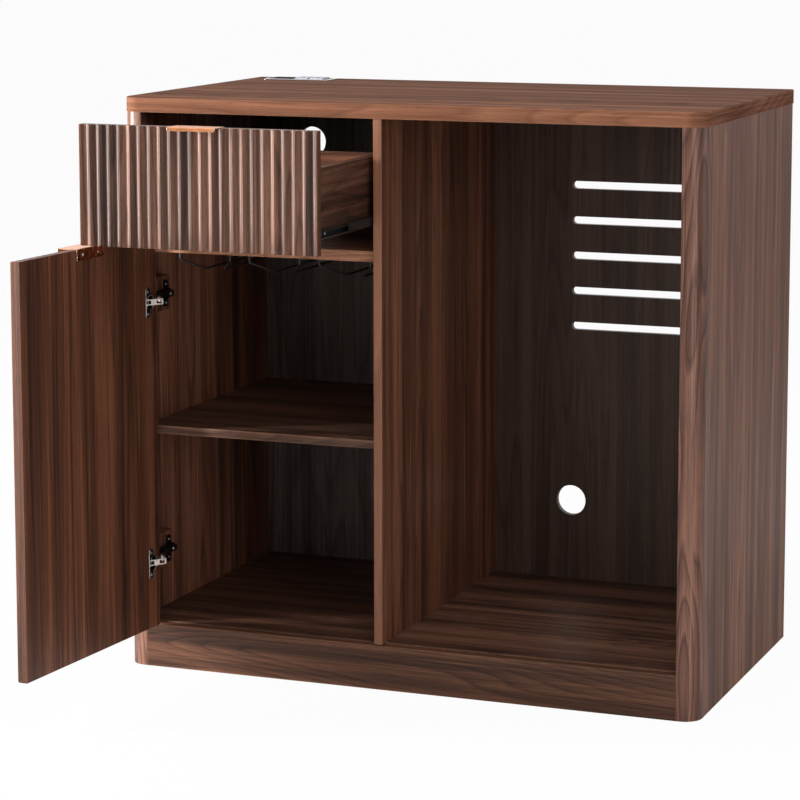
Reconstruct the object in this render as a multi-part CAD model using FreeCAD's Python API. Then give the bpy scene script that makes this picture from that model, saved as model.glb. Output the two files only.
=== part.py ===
import FreeCAD, Part
import math
import os

Vec = FreeCAD.Vector

# All lengths are millimetres. X runs to the right, Y to the back and Z up.
# The origin is on the floor, under the middle of the cabinet.
# Every piece is drawn shut and then moved to the pose of the photograph.

# Case
CABINET_WIDE = 1016.0
CABINET_DEEP = 584.0
CABINET_TALL = 980.0
TOP_THICK = 25.0
TOP_OVERHANG = 1.0
TOP_BEVEL = 1.5
BOARD_THICK = 15.0
EDGE_BEVEL = 0.8
POST_WIDE = 36.5
POST_DEEP = 45.0
POST_RADIUS = 30.0
PLINTH_TALL = 75.0
PLINTH_THICK = 18.0
FLOOR_RISE = 2.0
BEARER_WIDE = 60.0
DIVIDER_FROM_MIDDLE = 43.0
BACK_THICK = 12.0
BACK_INSET = 4.0
BACK_FLOOR_GAP = 30.0
BACK_JOINT_GAP = 0.4
CUT_OVERRUN = 1.0

# Sides of small round pieces
WIRE_SIDES = 6
SHANK_SIDES = 8
HEAD_SIDES = 8
PIN_SIDES = 12
CAM_SIDES = 16
CUP_SIDES = 24

# Openings in the back
VENT_COUNT = 5
VENT_PITCH = 64.0
VENT_FROM_TOP = 155.0
VENT_LONG = 236.0
VENT_TALL = 14.0
CABLE_HOLE_RADIUS = 27.5
BAY_HOLE_FROM_VENT = 1.0
BAY_HOLE_RISE = 222.0
DRAWER_HOLE_FROM_SIDE = 93.5
DRAWER_HOLE_FROM_TOP = 92.0

# Fixed and loose shelf
DRAWER_SHELF_UNDER_FRONT = 38.0
DRAWER_SHELF_THICK = 18.0
DRAWER_SHELF_RECESS = 20.0
LOOSE_SHELF_OVER_FLOOR = 321.0
LOOSE_SHELF_RECESS = 48.0
LOOSE_SHELF_SIDE_GAP = 1.0
LOOSE_SHELF_BACK_GAP = 3.0
PIN_RADIUS = 2.5
PIN_COLLAR_RADIUS = 4.0
PIN_COLLAR_THICK = 1.0
PIN_IN_BOARD = 9.0
PIN_IN_SHELF = 8.0
PIN_FRONT_DEPTH = 118.0
PIN_FROM_BACK = 87.0
PIN_RISE_IN_SHELF = 4.0
PIN_HOLE_PITCH = 64.0
PIN_HOLE_STEPS = (-1, 0, 1)
PIN_FIT = 0.05

# Fronts
FRONT_CORE = 13.0
FRONT_GAP = 2.5
FRONT_FACE_SET = 1.0
DRAWER_FRONT_TALL = 197.0
DRAWER_FRONT_TOP_GAP = 3.0
DOOR_TOP_GAP = 4.0
FLUTE_COUNT = 23
FLUTE_RIDGE = 1.8
FLUTE_DEPTH = 4.0

# Door swing
DOOR_AXIS_FROM_EDGE = 1.5
DOOR_AXIS_BEFORE_FACE = 7.5
DOOR_OPEN_ANGLE = 94.4

# Bent pulls
PULL_LONG = 83.0
PULL_THICK = 1.2
PULL_REACH = 19.0
PULL_LIP = 5.0
PULL_LEG = 17.5
PULL_BEND = 1.2
PULL_SCREW_FROM_END = 18.0
PULL_SCREW_DROP = 9.0
PULL_HEAD_RADIUS = 2.6
PULL_HEAD_THICK = 1.4
PULL_SHANK_RADIUS = 1.6
FRONT_SCREW_SKIN = 4.5

# Drawer box
DRAWER_OUT = 229.0
DRAWER_BOX_LONG = 303.0
DRAWER_SIDE_THICK = 12.0
DRAWER_SIDE_OVER_EDGE = 22.0
DRAWER_SIDE_TALL = 115.0
DRAWER_BASE_THICK = 4.0
DRAWER_BASE_RISE = 9.0
DRAWER_GROOVE = 5.0
DRAWER_GROOVE_FIT = 0.2
CAM_RADIUS = 6.0
CAM_THICK = 9.0
CAM_FROM_FRONT = 12.0
CAM_FIRST_RISE = 26.0
CAM_PITCH = 63.0
CAM_FIT = 0.05
CAM_SLOT_WIDE = 1.6
CAM_SLOT_DEEP = 1.5
CAM_SLOT_LONG = 8.0

# Telescopic slides
SLIDE_GAP = 12.7
SLIDE_SHORTER = 3.0
SLIDE_TALL = 17.0
SLIDE_FRONT_RECESS = 2.0
SLIDE_METAL = 1.2
SLIDE_PLAY = 0.35
SLIDE_OUTER_FLANGE = 8.5
SLIDE_MIDDLE_FLANGE = 8.6
SLIDE_INNER_FLANGE = 7.2
SLIDE_WEB_GAP = 0.5
SLIDE_BEND = 1.0
SLIDE_SCREW_FROM_END = 35.0
SLIDE_SCREW_COUNT = 2
SLIDE_HEAD_RADIUS = 2.8
SLIDE_HEAD_THICK = 1.3
SLIDE_SHANK_RADIUS = 1.5
SLIDE_SHANK_LONG = 8.0
BATTEN_LONGER = 120.0
BATTEN_OVER_SLIDE = 10.0

# Concealed hinges
HINGE_OVER_FLOOR = 112.0
HINGE_UNDER_DOOR_TOP = 114.0
HINGE_BLOCK_TALL = 60.0
CUP_RADIUS = 13.0
CUP_SKIN = 2.5
CUP_WALL = 0.8
CUP_FROM_EDGE = 21.5
CUP_FIT = 0.05
CUP_PIN_FROM_EDGE = 25.0
CUP_PIN_DEPTH = 3.7
CUP_PLATE_FROM_CUP = 6.5
CUP_PLATE_WIDE = 13.0
CUP_PLATE_TALL = 51.0
CUP_PLATE_THICK = 1.0
CUP_SCREW_SPREAD = 38.0
CUP_HEAD_RADIUS = 2.8
CUP_HEAD_THICK = 0.9
CUP_SHANK_RADIUS = 1.5
MOUNT_PLATE_FROM_BLOCK = 5.0
MOUNT_PLATE_LONG = 48.0
MOUNT_PLATE_TALL = 16.0
MOUNT_PLATE_THICK = 6.0
MOUNT_WING_TALL = 46.0
MOUNT_WING_LONG = 14.0
MOUNT_WING_THICK = 3.0
MOUNT_WING_BACK_SET = 8.0
MOUNT_SCREW_SPREAD = 32.0
MOUNT_SHANK_LONG = 9.0
ARM_TALL = 10.5
ARM_METAL = 1.2
ARM_THICK = 5.4
ARM_CRANK = 12.3
ARM_NOSE_DEPTH = 17.4
ARM_CRANK_DEPTH = 36.0
ARM_CRANK_RUN = 12.0
ARM_SCREW_RADIUS = 3.2
ARM_SCREW_THICK = 1.5
LINK_HALF_WIDE = 2.0
LINK_PIN_RADIUS = 1.0
LINK_PIN_FIT = 0.05
LINK_PIN_END = 0.2
SWING_LINK_TALL = 6.0
CARRY_STRAP_THICK = 1.6
CARRY_WEB_THICK = 1.2
CARRY_WEB_SHARES = (0.4, 0.75)
LINK_PLAY = 0.3

# Stem glass racks
RACK_COUNT = 3
RACK_FIRST_FROM_SIDE = 128.0
RACK_LAST_FROM_DIVIDER = 58.5
RACK_UNIT_GAP = 35.5
RACK_WIRE_RADIUS = 2.0
RACK_RAIL_SPREAD = 34.0
RACK_RAIL_DROP = 30.0
RACK_STUB_DROP = 11.0
RACK_STUB_DEPTH = 22.0
RACK_NOSE_DEPTH = 62.0
RACK_TAIL_FROM_BACK = 167.0
RACK_TAIL_RUN = 18.0
RACK_BEND = 6.0
RACK_FOOT_RADIUS = 6.5
RACK_FOOT_THICK = 1.6
RACK_SCREW_RADIUS = 1.5
RACK_SCREW_LONG = 10.0
RACK_HEAD_RADIUS = 3.0
RACK_HEAD_THICK = 1.6
RACK_SCREW_FROM_STUB = 8.0
RACK_BORE_FIT = 0.05

# Power outlet in the top
OUTLET_LONG = 125.0
OUTLET_WIDE = 54.0
OUTLET_FROM_LEFT = 41.4
OUTLET_FROM_BACK = 28.0
OUTLET_RIM_TALL = 2.4
OUTLET_RIM_WIDE = 5.0
OUTLET_RIM_RADIUS = 4.0
OUTLET_NECK_WALL = 1.5
OUTLET_NECK_FIT = 0.3
OUTLET_BODY_DROP = 46.0
OUTLET_FACE_RISE = 1.2
SOCKET_COUNT = 2
SOCKET_LONG = 25.5
SOCKET_WIDE = 36.0
SOCKET_RISE = 4.6
SOCKET_FIRST_FROM_END = 58.0
SOCKET_PITCH = 29.0
SOCKET_BEVEL = 1.2
SOCKET_WELL_RADIUS = 9.0
SOCKET_WELL_DEEP = 2.0
CHARGER_LONG = 46.0
CHARGER_WIDE = 36.0
CHARGER_RISE = 3.2
CHARGER_FROM_END = 7.0
CHARGER_PORT_LONG = 12.0
CHARGER_PORT_WIDE = 4.5
CHARGER_PORT_DEEP = 2.0
CHARGER_PORT_SPREAD = 18.0

# Places that follow from the sizes above
HALF_WIDE = CABINET_WIDE / 2
HALF_DEEP = CABINET_DEEP / 2
CASE_SIDE = HALF_WIDE - TOP_OVERHANG
CASE_FRONT = -HALF_DEEP + TOP_OVERHANG
CASE_BACK = HALF_DEEP - TOP_OVERHANG
CASE_TOP = CABINET_TALL - TOP_THICK
PANEL_INNER = CASE_SIDE - BOARD_THICK
POST_INNER = CASE_SIDE - POST_WIDE
POST_BACK = CASE_FRONT + POST_DEEP
BACK_OUTER = CASE_BACK - BACK_INSET
BACK_INNER = BACK_OUTER - BACK_THICK
FLOOR_TOP = PLINTH_TALL + FLOOR_RISE
FLOOR_UNDER = FLOOR_TOP - BOARD_THICK
PLINTH_INNER = CASE_FRONT + PLINTH_THICK
DIVIDER_LEFT = -DIVIDER_FROM_MIDDLE - BOARD_THICK / 2
DIVIDER_RIGHT = DIVIDER_LEFT + BOARD_THICK
FRONT_LEFT = -POST_INNER + FRONT_GAP
FRONT_RIGHT = DIVIDER_LEFT - FRONT_GAP
FRONT_WIDE = FRONT_RIGHT - FRONT_LEFT
FRONT_BACK = CASE_FRONT + FLUTE_DEPTH + FRONT_CORE
DRAWER_FRONT_TOP = CASE_TOP - DRAWER_FRONT_TOP_GAP
DRAWER_FRONT_RISE = DRAWER_FRONT_TOP - DRAWER_FRONT_TALL
DOOR_TOP_RISE = DRAWER_FRONT_RISE - DOOR_TOP_GAP
FRONT_SHANK_LONG = FRONT_CORE - FRONT_SCREW_SKIN
DRAWER_SHELF_RISE = DRAWER_FRONT_RISE - DRAWER_SHELF_UNDER_FRONT
LOOSE_SHELF_RISE = FLOOR_TOP + LOOSE_SHELF_OVER_FLOOR
VENT_TOP_RISE = CASE_TOP - VENT_FROM_TOP
DRAWER_HOLE_RISE = CASE_TOP - DRAWER_HOLE_FROM_TOP
HINGE_RISES = (FLOOR_TOP + HINGE_OVER_FLOOR, DOOR_TOP_RISE - HINGE_UNDER_DOOR_TOP)
HINGE_BLOCK_LONG = MOUNT_PLATE_LONG + 2 * MOUNT_PLATE_FROM_BLOCK
CUP_DEPTH = FRONT_CORE - CUP_SKIN
AXIS_X = FRONT_LEFT + DOOR_AXIS_FROM_EDGE
AXIS_Y = CASE_FRONT - DOOR_AXIS_BEFORE_FACE
BOX_LEFT = -POST_INNER + SLIDE_GAP
BOX_RIGHT = DIVIDER_LEFT - SLIDE_GAP
BOX_BACK = FRONT_BACK + DRAWER_BOX_LONG
DRAWER_SIDE_RISE = DRAWER_FRONT_RISE + DRAWER_SIDE_OVER_EDGE
BOX_TOP = DRAWER_SIDE_RISE + DRAWER_SIDE_TALL
BASE_UNDER = DRAWER_SIDE_RISE + DRAWER_BASE_RISE
PIN_RISE = LOOSE_SHELF_RISE + PIN_RISE_IN_SHELF
SLIDE_FRONT = FRONT_BACK + SLIDE_FRONT_RECESS
SLIDE_LONG = DRAWER_BOX_LONG - SLIDE_SHORTER
BATTEN_LONG = SLIDE_LONG + BATTEN_LONGER
RACK_ROW = DIVIDER_LEFT + PANEL_INNER - RACK_FIRST_FROM_SIDE - RACK_LAST_FROM_DIVIDER
RACK_PITCH = RACK_ROW / (RACK_COUNT - 1)
RACK_STUB_SPREAD = RACK_PITCH - RACK_UNIT_GAP
OUTLET_FRONT = HALF_DEEP - OUTLET_FROM_BACK - OUTLET_WIDE


def box(left, right, front, back, low, high):
    """Return a block between two places on each axis."""
    size = (right - left, back - front, high - low)
    return Part.makeBox(*size, Vec(left, front, low))


def flat_outline(places):
    """Return a closed face at Z 0 through XY places."""
    corners = [Vec(x, y, 0) for x, y in places]
    return Part.Face(Part.makePolygon(corners + corners[:1]))


def upright(places, low, high):
    """Return an XY outline raised from one height to another."""
    face = flat_outline(places)
    face.translate(Vec(0, 0, low))
    return face.extrude(Vec(0, 0, high - low))


def rod(radius, start, way, length):
    """Return a round bar from a place along a way."""
    return Part.makeCylinder(radius, length, start, way)


def ring_corners(radius, place, way, sides):
    """Return corners that are spread evenly on a circle about a way."""
    return Part.makeCircle(radius, place, way).discretize(sides + 1)[:-1]


def peg(radius, start, way, length, sides):
    """Return a small many-sided bar from a place along a way."""
    corners = ring_corners(radius, start, way, sides)
    face = Part.Face(Part.makePolygon(corners + corners[:1]))
    return face.extrude(way * length)


def skinned(rings):
    """Return the solid whose flat faces join rings of corners, one after another."""
    faces = [Part.Face(Part.makePolygon(ring + ring[:1])) for ring in (rings[0], rings[-1])]
    for near, far in zip(rings, rings[1:]):
        for at in range(len(near)):
            corners = [near[at - 1], near[at], far[at], far[at - 1], near[at - 1]]
            faces.append(Part.Face(Part.makePolygon(corners)))
    return Part.Solid(Part.Shell(faces))


def mirrored(shape):
    """Return the same shape on the other side of the cabinet."""
    return shape.mirror(Vec(0, 0, 0), Vec(1, 0, 0))


def bevelled(shape, size, chosen):
    """Return a shape with a small bevel on the edges that a test picks."""
    edges = [edge for edge in shape.Edges if chosen(edge)]
    return shape.makeChamfer(size, edges)


def edge_at(axis, place):
    """Return a test for edges that lie wholly at one place on an axis."""
    def chosen(edge):
        low = getattr(edge.BoundBox, axis + "Min")
        high = getattr(edge.BoundBox, axis + "Max")
        return abs(low - place) < EDGE_BEVEL / 4 and abs(high - place) < EDGE_BEVEL / 4
    return chosen


def any_of(*tests):
    """Return a test that is true where one of several is."""
    return lambda edge: any(test(edge) for test in tests)


def rounded_block(left, right, front, back, low, high, radius):
    """Return a block with round upright corners."""
    shape = box(left, right, front, back, low, high)
    tall = high - low
    posts = [e for e in shape.Edges if abs(e.BoundBox.ZLength - tall) < radius / 4]
    posts = [e for e in posts if e.BoundBox.XLength + e.BoundBox.YLength < radius / 4]
    return shape.makeFillet(radius, posts)


def slot_cut(left, right, rise, tall, front, back):
    """Return a level slot with round ends that runs through from front to back."""
    radius = tall / 2
    middle = box(left + radius, right - radius, front, back, rise - radius, rise + radius)
    ends = [peg(radius, Vec(x, front, rise), Vec(0, 1, 0), back - front, CUP_SIDES)
            for x in (left + radius, right - radius)]
    return middle.fuse(ends).removeSplitter()


def rounded_plate(near, far, way, radius):
    """Return a plate between two corners, with few-sided round corners about a way."""
    side = Vec(way.y, way.x, 0)
    up = Vec(0, 0, 1)
    parts = []
    for inset in (side * radius, up * radius):
        low, high = near + inset, far - inset
        parts.append(box(low.x, high.x, low.y, high.y, low.z, high.z))
    span = far - near
    for x in (radius, span.dot(side) - radius):
        for z in (radius, span.z - radius):
            start = near + side * x + up * z
            parts.append(peg(radius, start, way, span.dot(way), PIN_SIDES))
    return parts[0].fuse(parts[1:]).removeSplitter()


def open_door(shape):
    """Return a door piece turned to the pose of the photograph."""
    turned = shape.copy()
    turned.rotate(Vec(AXIS_X, AXIS_Y, 0), Vec(0, 0, 1), -DOOR_OPEN_ANGLE)
    return turned


def draw_out(shape, share=1.0):
    """Return a drawer piece pulled out by a share of the drawer's own travel."""
    moved = shape.copy()
    moved.translate(Vec(0, -DRAWER_OUT * share, 0))
    return moved


def swing_out(shape):
    """Return a swing link turned with the door about the arm's pin."""
    turned = shape.copy()
    turned.rotate(arm_pin_place(), Vec(0, 0, 1), -DOOR_OPEN_ANGLE)
    return turned


def carry_out(shape):
    """Return a carry link moved with the cup's pin, without a turn."""
    shut = cup_pin_place()
    pin = Part.Vertex(shut)
    moved = shape.copy()
    moved.translate(open_door(pin).Point - shut)
    return moved


# Case

def top_panel():
    """Top board with round front corners and the cut-out of the power outlet."""
    radius = POST_RADIUS + TOP_OVERHANG
    board = box(-HALF_WIDE, HALF_WIDE, -HALF_DEEP, HALF_DEEP, CASE_TOP, CABINET_TALL)
    corners = [e for e in board.Edges
               if e.BoundBox.YMax < 0 and e.BoundBox.ZLength > TOP_THICK / 2]
    board = board.makeFillet(radius, corners)
    board = bevelled(board, TOP_BEVEL, edge_at("Z", CABINET_TALL))
    board = bevelled(board, EDGE_BEVEL, edge_at("Z", CASE_TOP))
    left, right, front, back = outlet_neck()
    gap = OUTLET_NECK_FIT
    return board.cut(box(left - gap, right + gap, front - gap, back + gap,
                         CASE_TOP - CUT_OVERRUN, CABINET_TALL + CUT_OVERRUN))


def right_side_panel():
    """Side board behind the corner post."""
    board = box(PANEL_INNER, CASE_SIDE, POST_BACK, CASE_BACK, 0, CASE_TOP)
    return bevelled(board, EDGE_BEVEL, edge_at("Y", CASE_BACK))


def left_side_panel():
    """Side board with the row of shelf pin holes."""
    return mirrored(right_side_panel()).cut(pin_holes())


def right_post():
    """Corner post with a wide round front corner."""
    outline = [(POST_INNER, CASE_FRONT), (CASE_SIDE, CASE_FRONT),
               (CASE_SIDE, POST_BACK), (POST_INNER, POST_BACK)]
    post = upright(outline, 0, CASE_TOP)
    outer = [e for e in post.Edges
             if e.BoundBox.XMin > CASE_SIDE - EDGE_BEVEL
             and e.BoundBox.YMax < CASE_FRONT + EDGE_BEVEL]
    post = post.makeFillet(POST_RADIUS, outer)
    inner = [e for e in post.Edges
             if e.BoundBox.XMax < POST_INNER + EDGE_BEVEL
             and e.BoundBox.YMax < CASE_FRONT + EDGE_BEVEL]
    return post.makeChamfer(EDGE_BEVEL, inner)


def bottom_panel():
    """Bottom board, notched round both posts and behind the plinth."""
    places = [(-POST_INNER, PLINTH_INNER), (POST_INNER, PLINTH_INNER),
              (POST_INNER, POST_BACK), (PANEL_INNER, POST_BACK),
              (PANEL_INNER, BACK_INNER), (-PANEL_INNER, BACK_INNER),
              (-PANEL_INNER, POST_BACK), (-POST_INNER, POST_BACK)]
    return upright(places, FLOOR_UNDER, FLOOR_TOP)


def plinth_front():
    """Plinth board between the posts."""
    board = box(-POST_INNER, POST_INNER, CASE_FRONT, PLINTH_INNER, 0, PLINTH_TALL)
    upper = any_of(edge_at("Z", PLINTH_TALL))
    return bevelled(board, EDGE_BEVEL,
                    lambda edge: upper(edge) and edge.BoundBox.YMax < CASE_FRONT + EDGE_BEVEL)


def plinth_back():
    """Rear foot board under the bottom board."""
    front = BACK_INNER - BOARD_THICK
    return box(-PANEL_INNER, PANEL_INNER, front, BACK_INNER, 0, FLOOR_UNDER)


def centre_bearer():
    """Bearer that holds up the middle of the bottom board."""
    half = BEARER_WIDE / 2
    back = BACK_INNER - BOARD_THICK
    return box(-half, half, PLINTH_INNER, back, 0, FLOOR_UNDER)


def divider_panel():
    """Upright board between the cupboard and the open bay."""
    front = CASE_FRONT + FRONT_FACE_SET
    board = box(DIVIDER_LEFT, DIVIDER_RIGHT, front, BACK_INNER, FLOOR_TOP, CASE_TOP)
    board = bevelled(board, EDGE_BEVEL, lambda edge: edge.BoundBox.YMax < front + EDGE_BEVEL
                     and edge.BoundBox.ZLength > BOARD_THICK)
    return board.cut(pin_holes())


def left_back_panel():
    """Back board of the cupboard side, with a cable hole behind the drawer."""
    right = -DIVIDER_FROM_MIDDLE - BACK_JOINT_GAP / 2
    board = box(-PANEL_INNER, right, BACK_INNER, BACK_OUTER, BACK_FLOOR_GAP, CASE_TOP)
    middle = -PANEL_INNER + DRAWER_HOLE_FROM_SIDE
    return board.cut(cable_hole(middle, DRAWER_HOLE_RISE))


def right_back_panel():
    """Back board of the open bay, with five air slots and a cable hole."""
    left = -DIVIDER_FROM_MIDDLE + BACK_JOINT_GAP / 2
    board = box(left, PANEL_INNER, BACK_INNER, BACK_OUTER, BACK_FLOOR_GAP, CASE_TOP)
    bay_middle = (DIVIDER_RIGHT + PANEL_INNER) / 2
    vent_left = bay_middle - VENT_LONG / 2
    front, back = BACK_INNER - CUT_OVERRUN, BACK_OUTER + CUT_OVERRUN
    cuts = [cable_hole(vent_left + BAY_HOLE_FROM_VENT, BAY_HOLE_RISE)]
    for row in range(VENT_COUNT):
        rise = VENT_TOP_RISE - row * VENT_PITCH
        cuts.append(slot_cut(vent_left, vent_left + VENT_LONG, rise, VENT_TALL, front, back))
    return board.cut(cuts)


def cable_hole(x, rise):
    """Return the bore of a cable hole through a back board."""
    start = Vec(x, BACK_INNER - CUT_OVERRUN, rise)
    return rod(CABLE_HOLE_RADIUS, start, Vec(0, 1, 0), BACK_THICK + 2 * CUT_OVERRUN)


# Shelves

def drawer_shelf():
    """Fixed board over the cupboard, notched round the post."""
    front = CASE_FRONT + DRAWER_SHELF_RECESS
    places = [(-POST_INNER, front), (DIVIDER_LEFT, front), (DIVIDER_LEFT, BACK_INNER),
              (-PANEL_INNER, BACK_INNER), (-PANEL_INNER, POST_BACK), (-POST_INNER, POST_BACK)]
    high = DRAWER_SHELF_RISE + DRAWER_SHELF_THICK
    board = upright(places, DRAWER_SHELF_RISE, high)
    return board.cut([peg(RACK_SCREW_RADIUS + RACK_BORE_FIT, place, Vec(0, 0, 1),
                          RACK_SCREW_LONG + CUT_OVERRUN, SHANK_SIDES)
                      for place in rack_screw_places()])


def adjustable_shelf():
    """Loose board with a notch over each of its four pins."""
    left = -PANEL_INNER + LOOSE_SHELF_SIDE_GAP
    right = DIVIDER_LEFT - LOOSE_SHELF_SIDE_GAP
    front = CASE_FRONT + LOOSE_SHELF_RECESS
    back = BACK_INNER - LOOSE_SHELF_BACK_GAP
    high = LOOSE_SHELF_RISE + BOARD_THICK
    board = box(left, right, front, back, LOOSE_SHELF_RISE, high)
    board = bevelled(board, EDGE_BEVEL, lambda edge: edge.BoundBox.YMax < front + EDGE_BEVEL
                     and edge.BoundBox.XLength > BOARD_THICK)
    half = PIN_RADIUS + PIN_FIT
    reach = PIN_IN_SHELF + LOOSE_SHELF_SIDE_GAP
    notches = []
    for y in pin_rows():
        for x, way in pin_sides():
            ends = sorted((x, x + way * reach))
            low = LOOSE_SHELF_RISE - CUT_OVERRUN
            notches.append(box(*ends, y - half, y + half, low, PIN_RISE + PIN_RADIUS))
    return board.cut(notches)


def pin_rows():
    """Return the Y places of the front and the rear row of pins."""
    return (CASE_FRONT + PIN_FRONT_DEPTH, BACK_INNER - PIN_FROM_BACK)


def pin_sides():
    """Return each board face that holds pins, with the way into the cupboard."""
    return ((-PANEL_INNER, 1), (DIVIDER_LEFT, -1))


def pin_holes():
    """Return the bores for shelf pins in the side board and in the divider."""
    bores = []
    for y in pin_rows():
        for x, way in pin_sides():
            for step in PIN_HOLE_STEPS:
                place = Vec(x, y, PIN_RISE + step * PIN_HOLE_PITCH)
                bores.append(peg(PIN_RADIUS + PIN_FIT, place, Vec(-way, 0, 0),
                                 PIN_IN_BOARD + PIN_FIT, PIN_SIDES))
    return bores


def shelf_pins():
    """Four steel pins under the loose shelf."""
    pins = []
    for y in pin_rows():
        for x, way in pin_sides():
            start = Vec(x - way * PIN_IN_BOARD, y, PIN_RISE)
            pins.append(peg(PIN_RADIUS, start, Vec(way, 0, 0), PIN_IN_BOARD + PIN_IN_SHELF,
                            PIN_SIDES))
    return Part.makeCompound(pins)


# Fluted fronts

def fluted_board(low, high):
    """Return a shut front whose outer face is a row of coved flutes."""
    cove = (FRONT_WIDE - (FLUTE_COUNT + 1) * FLUTE_RIDGE) / FLUTE_COUNT
    edges = [Part.makeLine(Vec(FRONT_RIGHT, FRONT_BACK, low), Vec(FRONT_LEFT, FRONT_BACK, low)),
             Part.makeLine(Vec(FRONT_LEFT, FRONT_BACK, low), Vec(FRONT_LEFT, CASE_FRONT, low))]
    x = FRONT_LEFT
    for _ in range(FLUTE_COUNT):
        start = x + FLUTE_RIDGE
        end = start + cove
        edges.append(Part.makeLine(Vec(x, CASE_FRONT, low), Vec(start, CASE_FRONT, low)))
        deepest = Vec((start + end) / 2, CASE_FRONT + FLUTE_DEPTH, low)
        edges.append(Part.Arc(Vec(start, CASE_FRONT, low), deepest,
                              Vec(end, CASE_FRONT, low)).toShape())
        x = end
    edges.append(Part.makeLine(Vec(x, CASE_FRONT, low), Vec(FRONT_RIGHT, CASE_FRONT, low)))
    edges.append(Part.makeLine(Vec(FRONT_RIGHT, CASE_FRONT, low),
                               Vec(FRONT_RIGHT, FRONT_BACK, low)))
    face = Part.Face(Part.Wire(edges))
    board = face.extrude(Vec(0, 0, high - low))
    near = FRONT_BACK - EDGE_BEVEL / 4
    return bevelled(board, EDGE_BEVEL,
                    lambda edge: edge.BoundBox.YMin > near and edge.BoundBox.YLength < EDGE_BEVEL)


def door_panel():
    """Fluted door with a cup bore for each hinge and bores for the pull."""
    door = fluted_board(FLOOR_TOP, DOOR_TOP_RISE)
    cuts = [shank for shank in pull_shanks(DOOR_TOP_RISE, PIN_FIT)]
    for rise in HINGE_RISES:
        cuts.append(peg(CUP_RADIUS + CUP_FIT, cup_place(rise), Vec(0, -1, 0), CUP_DEPTH,
                        CUP_SIDES))
        cuts.extend(cup_shanks(rise, PIN_FIT))
    return door.cut(cuts)


def drawer_front():
    """Fluted drawer front, grooved for the drawer's base board."""
    front = fluted_board(DRAWER_FRONT_RISE, DRAWER_FRONT_TOP)
    cuts = [shank for shank in pull_shanks(DRAWER_FRONT_TOP, PIN_FIT)]
    cuts.append(base_groove())
    return front.cut(cuts)


# Bent pulls

def bent_pull(top):
    """Return a bent metal tab that hooks over the upper edge of a front."""
    outer = CASE_FRONT - PULL_REACH
    inner = FRONT_BACK + PULL_THICK
    high = top + PULL_THICK
    places = [(outer, top - PULL_LIP), (outer + PULL_THICK, top - PULL_LIP),
              (outer + PULL_THICK, top), (FRONT_BACK, top),
              (FRONT_BACK, top - PULL_LEG), (inner, top - PULL_LEG),
              (inner, high), (outer, high)]
    left = (FRONT_LEFT + FRONT_RIGHT - PULL_LONG) / 2
    corners = [Vec(left, y, z) for y, z in places]
    face = Part.Face(Part.makePolygon(corners + corners[:1]))
    tab = face.extrude(Vec(PULL_LONG, 0, 0))
    bends = [e for e in tab.Edges
             if e.BoundBox.XLength > PULL_LONG / 2 and e.BoundBox.ZMin > high - PULL_THICK / 2]
    tab = tab.makeFillet(PULL_BEND * (1 - PIN_FIT), bends)
    return tab.cut(pull_shanks(top, PIN_FIT))


def pull_screw_places(top):
    """Return where each screw of a pull meets the tab's leg."""
    middle = (FRONT_LEFT + FRONT_RIGHT) / 2
    reach = PULL_LONG / 2 - PULL_SCREW_FROM_END
    y = FRONT_BACK + PULL_THICK
    return [Vec(middle + side * reach, y, top - PULL_SCREW_DROP) for side in (-1, 1)]


def pull_shanks(top, fit):
    """Return the shank of each pull screw, grown by a fit."""
    return [peg(PULL_SHANK_RADIUS + fit, place, Vec(0, -1, 0), FRONT_SHANK_LONG + fit,
                SHANK_SIDES)
            for place in pull_screw_places(top)]


def pull_screws(top):
    """Return both screws of a pull with their low round heads."""
    screws = []
    shanks = pull_shanks(top, 0)
    for place, shank in zip(pull_screw_places(top), shanks):
        screws.append(shank.fuse(round_head(place, Vec(0, 1, 0), PULL_HEAD_RADIUS,
                                            PULL_HEAD_THICK)))
    return Part.makeCompound(screws)


def round_head(place, way, radius, thick):
    """Return a screw head that narrows towards its top."""
    low = ring_corners(radius, place, way, HEAD_SIDES)
    high = ring_corners(radius - thick / 2, place + way * thick, way, HEAD_SIDES)
    return skinned([low, high])


# Drawer box

def base_groove():
    """Return the groove that the drawer's base board sits in."""
    reach = DRAWER_GROOVE
    low = BASE_UNDER - DRAWER_GROOVE_FIT
    high = BASE_UNDER + DRAWER_BASE_THICK + DRAWER_GROOVE_FIT
    return box(BOX_LEFT + DRAWER_SIDE_THICK - reach, BOX_RIGHT - DRAWER_SIDE_THICK + reach,
               FRONT_BACK - reach, BOX_BACK - DRAWER_SIDE_THICK + reach, low, high)


def drawer_base():
    """Thin base board of the drawer, let into its groove all round."""
    grip = DRAWER_GROOVE - DRAWER_GROOVE_FIT
    return box(BOX_LEFT + DRAWER_SIDE_THICK - grip, BOX_RIGHT - DRAWER_SIDE_THICK + grip,
               FRONT_BACK - grip, BOX_BACK - DRAWER_SIDE_THICK + grip,
               BASE_UNDER - DRAWER_GROOVE_FIT, BASE_UNDER + DRAWER_BASE_THICK)


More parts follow.
